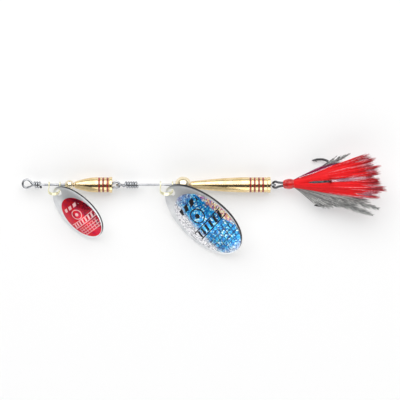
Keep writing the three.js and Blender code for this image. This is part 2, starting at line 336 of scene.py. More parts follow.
@dataclass(frozen=True)
class DrawnMetal:
    """Bare metal with fine lines along X or across it, and soft smudges."""

    name: str
    colour: Colour
    shade: Colour
    roughness: float
    lines: Colour = (0.6, 9.0, 9.0)
    line_depth: float = 0.01
    smudge: float = 0.12

    def material(self) -> bpy.types.Material:
        """Builds the finish."""
        paint = Paint(self.name)
        here = paint.place()
        lines = paint.noise(paint.scaled(here, self.lines), 1.0, 2.0)
        smudges = paint.noise(here, 0.55, 4.0, 3.0)
        rough = self.roughness + smudges.ramp(0.35, 0.75) * self.smudge + lines * 0.05
        return paint.finish(
            {
                "Base Color": paint.mix(smudges.ramp(0.3, 0.7), self.colour, self.shade),
                "Metallic": 1.0,
                "Roughness": rough,
                "Normal": paint.bump(lines, 0.35, self.line_depth),
            }
        )


@dataclass(frozen=True)
class Lacquer:
    """Glossy lacquer that pools darker in places."""

    name: str
    colour: Colour
    pooled: Colour
    roughness: float = 0.16
    ripple: float = 0.03

    def material(self) -> bpy.types.Material:
        """Builds the finish."""
        paint = Paint(self.name)
        here = paint.place()
        pools = paint.noise(here, 0.8, 3.0)
        ripples = paint.noise(here, 2.2, 2.0, 5.0)
        return paint.finish(
            {
                "Base Color": paint.mix(pools.ramp(0.35, 0.7), self.colour, self.pooled),
                "Roughness": self.roughness + pools * 0.1,
                "Coat Weight": 0.8,
                "Coat Roughness": 0.06,
                "Normal": paint.bump(ripples, 0.4, self.ripple),
            }
        )


@dataclass(frozen=True)
class BladeSteel:
    """Plated blade steel: satin grain along the blade, a bright flange, and a painted dark reflection along
    the rim on the body side.
    """

    name: str
    width: float
    colour: Colour = (0.83, 0.84, 0.85)
    shade: Colour = (0.60, 0.62, 0.64)
    # Near-black colour of the painted dark reflection along the rim.
    rim: Colour = (0.05, 0.05, 0.055)
    roughness: float = 0.27
    rim_start: float = 0.955
    rim_end: float = 0.98

    def material(self) -> bpy.types.Material:
        """Builds the finish."""
        paint = Paint(self.name)
        plan = paint.attribute("plan").outputs["Vector"]
        _, across, outwards = paint.split(plan)
        grain = paint.noise(paint.scaled(plan, (3.0, 14.0, 0.0)), 1.0, 3.0)
        clouds = paint.noise(plan, 0.35, 3.0, 2.0)
        # Painted dark reflection: the rim on the blade's body side is painted near black.
        body_side = across.ramp(-self.width * 0.1, self.width * 0.3)
        painted_dark_rim = outwards.ramp(self.rim_start, self.rim_end) * body_side
        satin = paint.mix(clouds.ramp(0.3, 0.75) * 0.7 + grain * 0.2, self.colour, self.shade)
        return paint.finish(
            {
                "Base Color": paint.mix(painted_dark_rim, satin, self.rim),
                "Metallic": 1.0,
                "Roughness": self.roughness + grain * 0.14 + clouds * 0.06,
                "Normal": paint.bump(grain, 0.3, 0.012),
            }
        )


@dataclass(frozen=True)
class Marks:
    """Plain printed marks on a foil: dashes, a ring with a dot, a row of bars between rails and a grid."""

    dash_at: float
    ring_at: float
    ring_radius: float
    bars_at: float
    grid_at: float
    grid_end: float
    half_width: float
    line: float
    centre: float

    def mask(self, paint: Paint, along: Field, across: Field) -> Field:
        """Where the marks are.

        Args:
            paint: The finish they belong to.
            along: The distance from the hole along the blade.
            across: The distance from the blade's centre line.

        Returns:
            1 on a mark and 0 off it.
        """
        across = across - self.centre
        side = across.size()
        dashes = (
            (along - self.dash_at).size().under(self.line * 2.0)
            * side.under(self.half_width * 0.6)
            * (across / (self.half_width * 0.4) + along * 0.2 + 10.5).part().between(0.2, 0.8)
        )
        from_ring = paint.math("SQRT", (along - self.ring_at) ** 2 + across * across)
        ring = (from_ring - self.ring_radius).size().under(self.line * 0.45)
        dot = from_ring.under(self.ring_radius * 0.35)
        near_bars = (along - self.bars_at).size()
        bars = (
            near_bars.under(self.line * 2.5)
            * side.under(self.half_width * 0.94)
            * ((across + along * 0.35) / (self.line * 4.6) + 20.0).part().under(0.46)
        )
        rails = (near_bars - self.line * 3.2).size().under(self.line * 0.4)
        rails = rails * side.under(self.half_width * 0.98)
        in_grid = along.between(self.grid_at, self.grid_end) * side.under(self.half_width * 0.8)
        row = ((along - self.grid_at) / (self.line * 3.4)).part()
        column = ((across + along * 0.3) / (self.line * 4.2) + 20.5).part()
        grid = (1.0 - row.between(0.16, 0.86) * column.between(0.12, 0.90)) * in_grid * 0.6
        return dashes.most(ring).most(dot).most(bars).most(rails).most(grid)


@dataclass(frozen=True)
class MirrorFoil:
    """Coloured mirror foil with pale printed marks, and a painted dark reflection over its body side."""

    name: str
    marks: Marks
    bright: Colour
    deep: Colour
    # Near-black colour of the painted dark reflection on the body side.
    edge: Colour
    ink: Colour
    width: float

    def material(self) -> bpy.types.Material:
        """Builds the finish."""
        paint = Paint(self.name)
        plan = paint.attribute("plan").outputs["Vector"]
        along, across, _ = paint.split(plan)
        clouds = paint.noise(paint.scaled(plan, (0.5, 0.9, 0.0)), 1.0, 3.0)
        flecks = paint.noise(plan, 3.2, 2.0, 4.0)
        # Painted dark reflection: towards the body side the foil is mixed to the near-black edge colour, in
        # flecks.
        body_side = (across + clouds * 2.4).ramp(self.width * 0.10, self.width * 0.44)
        dark = body_side * flecks.ramp(0.34, 0.58)
        field_colour = paint.mix(clouds.ramp(0.35, 0.7), self.bright, self.deep)
        field_colour = paint.mix(dark, field_colour, self.edge)
        printed = self.marks.mask(paint, along, across) * (0.55 + flecks * 0.4)
        return paint.finish(
            {
                "Base Color": paint.mix(printed, field_colour, self.ink),
                "Metallic": 0.85 - printed * 0.5,
                "Roughness": 0.26 + flecks * 0.12 + printed * 0.2,
                "Coat Weight": 0.2,
                "Coat Roughness": 0.08,
                "Normal": paint.bump(flecks, 0.25, 0.02),
            }
        )


@dataclass(frozen=True)
class PrismFoil:
    """Prism foil: small facets that each throw a colour, blue over the middle, with black printed marks, and
    painted silver and warm reflections fixed on it as colour.
    """

    name: str
    marks: Marks
    length: float
    width: float
    facets: float = 2.4

    def material(self) -> bpy.types.Material:
        """Builds the finish."""
        paint = Paint(self.name)
        plan = paint.attribute("plan").outputs["Vector"]
        along, across, _ = paint.split(plan)
        flat = paint.joined(along, across, 0.0)
        sockets = {"Vector": flat, "Scale": self.facets}
        cells = paint.node("ShaderNodeTexVoronoi", {"voronoi_dimensions": "2D"}, sockets)
        red, green, blue = paint.split(cells.outputs["Color"])
        share = along / self.length
        side = across / self.width
        wobble = paint.noise(flat, 0.5, 3.0) - 0.5
        # Painted reflections: silver over the side away from the body and towards the tip, and a warm band
        # along the body side, fixed to the foil as colour.
        silver_reflection = 1.0 - (side + share * 0.32 + wobble * 0.2).ramp(-0.08, 0.08)
        tip = (share + wobble * 0.12 - side * 0.15).ramp(0.82, 0.92)
        warm_reflection = (side + wobble * 0.1 - share * 0.05).ramp(0.31, 0.345)
        warm_reflection = warm_reflection * (1.0 - share.ramp(0.62, 0.74)) * share.ramp(0.12, 0.2)
        violet = (1.0 - (share + wobble * 0.2).ramp(0.05, 0.22)) * (1.0 - silver_reflection)
        blues = paint.colours(
            red,
            (0.0, (0.004, 0.07, 0.26)),
            (0.3, (0.01, 0.19, 0.56)),
            (0.62, (0.015, 0.36, 0.80)),
            (0.84, (0.09, 0.62, 0.86)),
            (1.0, (0.75, 0.95, 1.0)),
        )
        # Colours of the painted warm reflection.
        warms = paint.colours(
            green,
            (0.0, (0.30, 0.14, 0.30)),
            (0.25, (0.92, 0.14, 0.26)),
            (0.5, (1.0, 0.45, 0.12)),
            (0.75, (1.0, 0.80, 0.35)),
            (1.0, (1.0, 0.97, 0.92)),
        )
        # Colours of the painted silver reflection.
        silvers = paint.colours(
            blue,
            (0.0, (0.34, 0.35, 0.37)),
            (0.35, (0.66, 0.66, 0.70)),
            (0.7, (0.88, 0.87, 0.90)),
            (1.0, (1.0, 1.0, 1.0)),
        )
        violets = paint.mix(red, (0.16, 0.16, 0.34), (0.72, 0.66, 0.86))
        colour = paint.mix(violet * 0.8, blues, violets)
        colour = paint.mix(warm_reflection * (0.55 + green * 0.45), colour, warms)
        colour = paint.mix(silver_reflection.most(tip * (0.35 + red * 0.5)), colour, silvers)
        printed = self.marks.mask(paint, along, across)
        return paint.finish(
            {
                "Base Color": paint.mix(printed, colour, (0.004, 0.004, 0.006)),
                "Metallic": 0.5 - printed * 0.5,
                "Roughness": 0.22 + blue * 0.16 + printed * 0.3,
                "Coat Weight": 0.3 - printed * 0.3,
                "Specular IOR Level": 0.3,
                "Coat Roughness": 0.08,
                "Normal": paint.bump(green, 0.35, 0.05),
            }
        )


@dataclass(frozen=True)
class Plume:
    """Feather barbs: each strand has its own tone, the free ends change colour, and a share of strands are
    painted pale as glints.
    """

    name: str
    colour: Colour
    second: Colour
    tip: Colour
    # Pale colour of the painted glints.
    glint: Colour
    tip_start: float = 0.72
    glint_share: float = 0.12
    glint_depth: float = 0.7
    roughness: float = 0.5

    def material(self) -> bpy.types.Material:
        """Builds the finish."""
        paint = Paint(self.name)
        here = paint.place()
        tone, along = paint.value_of("tone"), paint.value_of("along")
        grain = paint.noise(paint.scaled(here, (1.4, 7.0, 7.0)), 1.0, 3.0)
        colour = paint.mix((tone * 0.75 + grain * 0.35).ramp(0.25, 0.85), self.colour, self.second)
        free_end = (along + (tone - 0.5) * 0.22 + (grain - 0.5) * 0.3).ramp(self.tip_start, 1.0)
        colour = paint.mix(free_end * 0.85, colour, self.tip)
        # Painted glints: past mid-length a share of strands take the pale glint colour, standing in for
        # highlights.
        painted_glint = (tone * 7.0).part().under(self.glint_share) * along.ramp(0.35, 0.7) * grain.over(0.48)
        return paint.finish(
            {
                "Base Color": paint.mix(painted_glint * self.glint_depth, colour, self.glint),
                "Roughness": self.roughness + grain * 0.2,
                "Specular IOR Level": 0.22,
                "Sheen Weight": 0.04,
                "Normal": paint.bump(grain, 0.3, 0.03),
            }
        )


class Finishes:
    """Every finish of the lure, each built once."""

    def __init__(self) -> None:
        """Builds the materials."""
        self.steel = DrawnMetal("Drawn steel", (0.56, 0.57, 0.59), (0.32, 0.33, 0.35), 0.14).material()
        self.clevis = DrawnMetal("Clevis brass", (0.94, 0.92, 0.70), (0.82, 0.78, 0.50), 0.28).material()
        turning = (7.0, 0.4, 0.4)
        self.brass = DrawnMetal(
            "Turned brass", (0.92, 0.73, 0.43), (0.80, 0.59, 0.29), 0.15, turning, 0.006, 0.08
        ).material()
        # Painted highlight: the bead's brass is a paler copy of the turned brass, lightened to stand in for
        # its bright highlight.
        self.bead = DrawnMetal(
            "Bead brass", (0.97, 0.88, 0.70), (0.90, 0.76, 0.50), 0.12, turning, 0.004, 0.06
        ).material()
        self.nickel = DrawnMetal("Black nickel", (0.13, 0.125, 0.135), (0.055, 0.053, 0.055), 0.22).material()
        self.ring = Lacquer("Groove lacquer", (0.36, 0.020, 0.012), (0.20, 0.010, 0.008)).material()
        self.head = Lacquer("Head lacquer", (0.74, 0.014, 0.012), (0.46, 0.006, 0.008), 0.10, 0.05).material()
        # Each hackle's fourth colour is the pale colour of its painted glints.
        self.red = Plume(
            "Red hackle", (0.93, 0.010, 0.014), (0.78, 0.006, 0.011), (0.22, 0.018, 0.026), (1.0, 0.42, 0.46),
            tip_start=0.79,
        ).material()
        self.plum = Plume(
            "Plum hackle", (0.14, 0.01, 0.07), (0.32, 0.01, 0.06), (0.05, 0.03, 0.035), (0.8, 0.3, 0.5),
            tip_start=0.8,
        ).material()
        self.grey = Plume(
            "Grey hackle", (0.48, 0.49, 0.475), (0.20, 0.20, 0.20), (0.15, 0.15, 0.15), (0.88, 0.89, 0.86),
            tip_start=0.7, glint_share=0.3, glint_depth=0.8, roughness=0.55,
        ).material()
        self.tinsel = DrawnMetal("Tinsel", (0.96, 0.72, 0.76), (0.62, 0.30, 0.42), 0.18).material()


# ---- geometry trees ----


class Section(Enum):
    """The two sections a strand is drawn with."""

    ROUND = "MINIMUM_TWIST"
    RIBBON = "Z_UP"


def geometry_tree(name: str, inputs: dict[str, str]) -> tuple[NodeMaker, bpy.types.Node, dict[str, str]]:
    """Starts a geometry tree with a Geometry input and output.

    Args:
        name: The tree's name.
        inputs: The kind of socket of each further input, by name.

    Returns:
        The maker, the group's input node, and each input's identifier by name.
    """
    tree = bpy.data.node_groups.new(name, "GeometryNodeTree")
    face = tree.interface
    face.new_socket("Geometry", in_out="INPUT", socket_type="NodeSocketGeometry")
    face.new_socket("Geometry", in_out="OUTPUT", socket_type="NodeSocketGeometry")
    keys = {
        key: face.new_socket(key, in_out="INPUT", socket_type=kind).identifier for key, kind in inputs.items()
    }
    maker = NodeMaker(tree)
    return maker, maker.node("NodeGroupInput"), keys


def close_tree(maker: NodeMaker, mesh: bpy.types.NodeSocket, material: bpy.types.NodeSocket) -> None:
    """Ends a geometry tree in Realize Instances and Set Material.

    Args:
        maker: The tree's maker.
        mesh: The geometry.
        material: The material input.
    """
    smooth = maker.node("GeometryNodeSetShadeSmooth", None, {"Geometry": mesh}).outputs[0]
    real = maker.node("GeometryNodeRealizeInstances", None, {"Geometry": smooth}).outputs[0]
    dressed = maker.node("GeometryNodeSetMaterial", None, {"Geometry": real, "Material": material})
    maker.node("NodeGroupOutput", None, {"Geometry": dressed.outputs[0]})


def strand_tree(section: Section) -> tuple[bpy.types.NodeTree, dict[str, str]]:
    """A tree that draws a strand along each chain of edges, as thick as its "thick" attribute says.

    Args:
        section: How the section turns along the strand.

    Returns:
        The tree and its inputs' identifiers.
    """
    inputs = {"Sides": "NodeSocketInt", "Flatness": "NodeSocketFloat", "Finish": "NodeSocketMaterial"}
    maker, start, keys = geometry_tree(f"Strand {section.name.lower()}", inputs)
    chain = maker.node("GeometryNodeMeshToCurve", None, {"Mesh": start.outputs["Geometry"]}).outputs[0]
    turned = maker.node("GeometryNodeSetCurveNormal", {"mode": section.value}, {"Curve": chain}).outputs[0]
    circle = maker.node(
        "GeometryNodeCurvePrimitiveCircle",
        {"mode": "RADIUS"},
        {"Resolution": start.outputs["Sides"], "Radius": 1.0},
    ).outputs[0]
    scale = maker.joined(1.0, Field(maker, start.outputs["Flatness"]), 1.0)
    profile = maker.node("GeometryNodeTransform", None, {"Geometry": circle, "Scale": scale}).outputs[0]
    thick = maker.node("GeometryNodeInputNamedAttribute", {"data_type": "FLOAT"}, {"Name": "thick"})
    drawn = maker.node(
        "GeometryNodeCurveToMesh",
        None,
        {"Curve": turned, "Profile Curve": profile, "Scale": thick.outputs[0], "Fill Caps": True},
    )
    close_tree(maker, drawn.outputs[0], start.outputs["Finish"])
    return maker.tree, keys


def press_tree() -> tuple[bpy.types.NodeTree, dict[str, str]]:
    """A tree that presses a flat plate into a dome with a flat flange round it.

    Returns:
        The tree and its inputs' identifiers.
    """
    sizes = ("Length", "Width", "Taper", "Hole inset", "Camber")
    inputs = {**{key: "NodeSocketFloat" for key in sizes}, "Finish": "NodeSocketMaterial"}
    maker, start, keys = geometry_tree("Pressed dome", inputs)
    length, width, taper, inset, camber = (Field(maker, start.outputs[key]) for key in sizes)

    def dome(u: Number, v: Number) -> Field:
        """The dome's height at a place on the plate."""
        along = (inset + u - length * 0.5) / (length * 0.5)
        across = maker.math("DIVIDE", v, width * 0.5 * (1.0 + taper * along))
        outwards = (along * along + across * across).least(1.0)
        return camber * (1.0 - outwards) ** 1.5

    here = maker.node("GeometryNodeInputPosition").outputs[0]
    u, v, _ = maker.split(here)
    lift = maker.joined(0.0, 0.0, dome(u, v) - dome(0.0, 0.0))
    pressed = maker.node(
        "GeometryNodeSetPosition", None, {"Geometry": start.outputs["Geometry"], "Offset": lift}
    )
    close_tree(maker, pressed.outputs[0], start.outputs["Finish"])
    return maker.tree, keys


def evaluated(
    host: bpy.types.Object, tree: bpy.types.NodeTree, values: dict[str, Any], name: str
) -> bpy.types.Object:
    """Runs a geometry tree on an object and keeps the result as a plain mesh in a new one.

    Args:
        host: The object that the tree reads. It is removed.
        tree: The tree.
        values: The inputs' values by identifier.
        name: The new object's name.

    Returns:
        The new object.
    """
    modifier = host.modifiers.new("Shape", "NODES")
    modifier.node_group = tree
    for key, value in values.items():
        modifier[key] = value
    depsgraph = bpy.context.evaluated_depsgraph_get()
    mesh = bpy.data.meshes.new_from_object(host.evaluated_get(depsgraph), depsgraph=depsgraph)
    host.modifiers.remove(modifier)
    bpy.data.objects.remove(host)
    mesh.name = name
    made = bpy.data.objects.new(name, mesh)
    bpy.context.scene.collection.objects.link(made)
    return made


# ---- places, paths and plain meshes ----


class Axes:
    """Axes in the row frame that sizes in millimetres are laid out on."""

    def __init__(self, origin: Vector, turn: Matrix) -> None:
        """Keeps the axes.

        Args:
            origin: Their origin in metres.
            turn: A 3 by 3 matrix whose columns are the axes.
        """
        self.origin = origin
        self.turn = turn

    def at(self, x: float, y: float = 0.0, z: float = 0.0) -> Vector:
        """A point in the row frame, in metres."""
        return self.origin + self.turn @ Vector((x, y, z)) * MM

    def moved(self, x: float, y: float = 0.0, z: float = 0.0, turn: Matrix | None = None) -> "Axes":
        """Axes with another origin, and turned against these if a turn is given."""
        return Axes(self.at(x, y, z), self.turn @ turn if turn else self.turn)

    def matrix(self) -> Matrix:
        """The matrix that takes metres on these axes to the row frame."""
        return Matrix.Translation(self.origin) @ self.turn.to_4x4()


def smooth_path(points: list[Point], step: float) -> np.ndarray:
    """A centripetal Catmull-Rom path through points.

    Args:
        points: The points it passes.
        step: The distance between the points it returns.

    Returns:
        The path's points.
    """
    given = np.array(points, float)
    ends = np.vstack([2 * given[0] - given[1], given, 2 * given[-1] - given[-2]])
    fine = []
    for p0, p1, p2, p3 in zip(ends, ends[1:], ends[2:], ends[3:]):
        t0 = 0.0
        t1 = t0 + np.linalg.norm(p1 - p0) ** 0.5
        t2 = t1 + np.linalg.norm(p2 - p1) ** 0.5
        t3 = t2 + np.linalg.norm(p3 - p2) ** 0.5
        t = np.linspace(t1, t2, 16, endpoint=False)[:, None]
        a1 = (t1 - t) / (t1 - t0) * p0 + (t - t0) / (t1 - t0) * p1
        a2 = (t2 - t) / (t2 - t1) * p1 + (t - t1) / (t2 - t1) * p2
        a3 = (t3 - t) / (t3 - t2) * p2 + (t - t2) / (t3 - t2) * p3
        b1 = (t2 - t) / (t2 - t0) * a1 + (t - t0) / (t2 - t0) * a2
        b2 = (t3 - t) / (t3 - t1) * a2 + (t - t1) / (t3 - t1) * a3
        fine.append((t2 - t) / (t2 - t1) * b1 + (t - t1) / (t2 - t1) * b2)
    line = np.vstack([*fine, given[-1:]])
    run = np.concatenate([[0.0], np.cumsum(np.linalg.norm(np.diff(line, axis=0), axis=1))])
    stations = np.linspace(0.0, run[-1], max(2, round(run[-1] / step) + 1))
    return np.column_stack([np.interp(stations, run, line[:, axis]) for axis in range(3)])


def arc(
    centre: float, radius: float, side: tuple[float, float], start: float, end: float, count: int = 11
) -> list[Point]:
    """Points on a circle about a place on the X axis.

    Args:
        centre: The circle's centre along X.
        radius: Its radius.
        side: The side direction of its plane, as (y, z).
        start: The first angle, in degrees from X.
        end: The last angle.
        count: The number of points.

    Returns:
        The points.
    """
    return [
        (centre + radius * math.cos(a), side[0] * radius * math.sin(a), side[1] * radius * math.sin(a))
        for a in np.radians(np.linspace(start, end, count))
    ]


def wraps(start: float, turns: float, radius: float, pitch: float) -> list[Point]:
    """Points of wraps about the X axis that start on +Z and go along X."""
    count = round(turns * 12)
    turn = [turns * i / count for i in range(count + 1)]
    return [
        (
            start + pitch * t,
            radius * math.cos(math.radians(90 - 360 * t)),
            radius * math.sin(math.radians(90 - 360 * t)),
        )
        for t in turn
    ]


def new_object(name: str, points: np.ndarray, faces: list, edges: list | None = None) -> bpy.types.Object:
    """Makes a mesh object.

    Args:
        name: Its name.
        points: Its points in metres.
        faces: Its faces.
        edges: Its edges, where it has no faces.

    Returns:
        The object, linked to the scene.
    """
    mesh = bpy.data.meshes.new(name)
    mesh.from_pydata(points.tolist(), edges or [], faces)
    mesh.validate()
    made = bpy.data.objects.new(name, mesh)
    bpy.context.scene.collection.objects.link(made)
    return made


def face_outwards(piece: bpy.types.Object, sharp: float | None = 35.0) -> None:
    """Turns a closed mesh's faces outwards and shades it smooth up to an angle.

    Args:
        piece: The object.
        sharp: Edges over this angle in degrees stay sharp.
    """
    work = bmesh.new()
    work.from_mesh(piece.data)
    bmesh.ops.recalc_face_normals(work, faces=work.faces)
    work.to_mesh(piece.data)
    work.free()
    piece.data.shade_smooth()
    if sharp is not None:
        piece.data.set_sharp_from_angle(angle=math.radians(sharp))


def add_values(mesh: bpy.types.Mesh, name: str, values: np.ndarray) -> None:
    """Stores a number or a vector on each point of a mesh."""
    kind, key = ("FLOAT", "value") if values.ndim == 1 else ("FLOAT_VECTOR", "vector")
    attribute = mesh.attributes.get(name) or mesh.attributes.new(name, kind, "POINT")
    attribute.data.foreach_set(key, values.astype(np.float32).ravel())


class Strands:
    """Wires, threads and barbs that one geometry tree draws along their paths."""

    trees: dict[Section, tuple[bpy.types.NodeTree, dict[str, str]]] = {}

    def __init__(self) -> None:
        """Starts with no strand."""
        self.points: list[np.ndarray] = []
        self.thick: list[np.ndarray] = []
        self.along: list[np.ndarray] = []
        self.tone: list[np.ndarray] = []
        self.edges: list[tuple[int, int]] = []
        self.count = 0

    def add(self, path: np.ndarray, thick: float | np.ndarray, tone: float = 0.0) -> None:
        """Adds a strand.

        Args:
            path: Its points in millimetres.
            thick: Its half width, for all or for each point.
            tone: Its own number from 0 to 1, for its colour.
        """
        size = len(path)
        self.points.append(path)
        self.thick.append(np.broadcast_to(np.asarray(thick, float), (size,)))
        self.along.append(np.linspace(0.0, 1.0, size))
        self.tone.append(np.full(size, tone))
        self.edges += [(self.count + i, self.count + i + 1) for i in range(size - 1)]
        self.count += size

    def build(
        self,
        name: str,
        axes: Axes,
        material: bpy.types.Material,
        section: Section = Section.ROUND,
        sides: int = 14,
        flatness: float = 1.0,
    ) -> bpy.types.Object:
        """Draws the strands as one mesh.

        Args:
            name: The piece's name.
            axes: What the paths are laid out on.
            material: The finish.
            section: How the section turns.
            sides: The section's sides.
            flatness: The section's height as a share of its width.

        Returns:
            The piece.
        """
        if section not in self.trees:
            self.trees[section] = strand_tree(section)
        tree, keys = self.trees[section]
        local = np.vstack(self.points) * MM
        turn = np.array(axes.turn.transposed())
        host = new_object(name + ".path", local @ turn + np.array(axes.origin), [], self.edges)
        add_values(host.data, "thick", np.concatenate(self.thick) * MM)
        add_values(host.data, "along", np.concatenate(self.along))
        add_values(host.data, "tone", np.concatenate(self.tone))
        values = {keys["Sides"]: sides, keys["Flatness"]: flatness, keys["Finish"]: material}
        piece = evaluated(host, tree, values, name)
        face_outwards(piece, SOFT_EDGE if section is Section.ROUND else None)
        return piece


def turned(
    name: str,
    profile: list[tuple[float, float]],
    axes: Axes,
    material: bpy.types.Material,
    segments: int = 96,
) -> bpy.types.Object:
    """A solid of revolution about X.

    Args:
        name: The piece's name.
        profile: A closed outline as (radius, station) pairs.
        axes: What it is laid out on.
        material: The finish.
        segments: The steps round it.

    Returns:
        The piece.
    """
    angles = np.linspace(0.0, 2 * math.pi, segments, endpoint=False)
    outline = np.array(profile)
    count = len(outline)
    points = np.array([(x, r * math.cos(a), r * math.sin(a)) for a in angles for r, x in outline], float)
    faces = [
        (
            s * count + i,
            s * count + (i + 1) % count,
            (s + 1) % segments * count + (i + 1) % count,
            (s + 1) % segments * count + i,
        )
        for s in range(segments)
        for i in range(count)
    ]
    piece = new_object(name, points * MM, faces)
    piece.data.transform(axes.matrix())
    face_outwards(piece)
    piece.data.materials.append(material)
    return piece


def rounded(profile: list[tuple[float, float]], radius: float, steps: int = 4) -> list[tuple[float, float]]:
    """A closed outline with every corner rounded where its sides are long enough.

    Args:
        profile: The outline's corners.
        radius: The rounding's radius.
        steps: The steps in each corner.

    Returns:
        The new outline.
    """
    corners = [np.array(p, float) for p in profile]
    smooth: list[tuple[float, float]] = []
    for before, here, after in zip(corners[-1:] + corners[:-1], corners, corners[1:] + corners[:1]):
        back, on = before - here, after - here
        reach = min(radius, 0.45 * np.linalg.norm(back), 0.45 * np.linalg.norm(on))
        start = here + back / np.linalg.norm(back) * reach
        end = here + on / np.linalg.norm(on) * reach
        for t in np.linspace(0.0, 1.0, steps + 1):
            smooth.append(tuple((1 - t) ** 2 * start + 2 * t * (1 - t) * here + t * t * end))
    return smooth


def loop_normals(loop: np.ndarray) -> np.ndarray:
    """The outward direction at each point of a loop that keeps the plate on its left."""
    along = np.roll(loop, -1, axis=0) - np.roll(loop, 1, axis=0)
    out = np.column_stack([along[:, 1], -along[:, 0]])
    return out / np.linalg.norm(out, axis=1)[:, None]


def plate(
    loops: list[np.ndarray], inner: np.ndarray, thickness: float, edge: float
) -> tuple[np.ndarray, list[tuple[int, ...]]]:
    """A flat closed plate with rounded edges.

    Args:
        loops: Its outline and its holes, each with the plate on the left.
        inner: Further points inside it.
        thickness: Its thickness.
        edge: The radius of its edges, at most half its thickness.

    Returns:
        Its points and faces, with its lower face at height 0.
    """
    inset = [loop - loop_normals(loop) * edge for loop in loops]
    flat = np.vstack([*inset, inner])
    sizes = [len(loop) for loop in loops]
    starts = np.concatenate([[0], np.cumsum(sizes)]).astype(int)
    rims = [
        (start + i, start + (i + 1) % size) for start, size in zip(starts, sizes) for i in range(size)
    ]
    coords, _, triangles, origins, _, _ = delaunay_2d_cdt([Vector(p) for p in flat], rims, [], 1, 1e-6)
    place = {given: i for i, sources in enumerate(origins) for given in sources}
    coords = np.array([tuple(c) for c in coords])
    kept = []
    for triangle in triangles:
        middle = coords[list(triangle)].mean(0)
        if not any(inside(middle, hole) for hole in inset[1:]):
            kept.append(tuple(triangle))
    layer = len(coords)
    points = [np.column_stack([coords, np.full(layer, height)]) for height in (thickness, 0.0)]
    faces = kept + [tuple(layer + i for i in reversed(t)) for t in kept]
    total = 2 * layer
    bends = np.radians([30.0, 60.0, 90.0])
    heights = [thickness - edge * (1 - math.cos(a)) for a in bends]
    heights += [edge * (1 - math.cos(a)) for a in reversed(bends)]
    reaches = [edge * math.sin(a) for a in bends] + [edge * math.sin(a) for a in reversed(bends)]
    for loop, start, size in zip(inset, starts, sizes):
        out = loop_normals(loop)
        rows = [[place[start + i] for i in range(size)]]
        for height, reach in zip(heights, reaches):
            points.append(np.column_stack([loop + out * reach, np.full(size, height)]))
            rows.append(list(range(total, total + size)))
            total += size
        rows.append([layer + place[start + i] for i in range(size)])
        for upper, lower in zip(rows, rows[1:]):
            faces += [
                (upper[i], lower[i], lower[(i + 1) % size], upper[(i + 1) % size]) for i in range(size)
            ]
    return np.vstack(points), faces


def hole_loop(radius: float, count: int) -> np.ndarray:
    """A round hole about zero, walked clockwise so that the plate lies on its left."""
    turn = np.linspace(0.0, -2 * math.pi, count, endpoint=False)
    return np.column_stack([np.cos(turn), np.sin(turn)]) * radius


def inside(point: np.ndarray, loop: np.ndarray) -> bool:
    """True where a point lies inside a loop."""
    x, y = point
    ahead = np.roll(loop, -1, axis=0)
    crosses = (loop[:, 1] > y) != (ahead[:, 1] > y)
    with np.errstate(divide="ignore", invalid="ignore"):
        at = loop[:, 0] + (y - loop[:, 1]) / (ahead[:, 1] - loop[:, 1]) * (ahead[:, 0] - loop[:, 0])
    return bool(np.count_nonzero(crosses & (x < at)) % 2)


def hand_over(piece: bpy.types.Object, body: str, slot: str, *nodes: str) -> None:
    """Gives a finished piece its body and hides the nodes that it stands for.

    Args:
        piece: The piece.
        body: The body it rides on.
        slot: The record's material slot. It is not used.
        nodes: The nodes that it replaces.
    """
    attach(piece, body)
    if nodes:
        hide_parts(*nodes)
    LOG.info("%s: %d faces on %s", piece.name, len(piece.data.polygons), body)


# ---- the lure's sub-assemblies ----


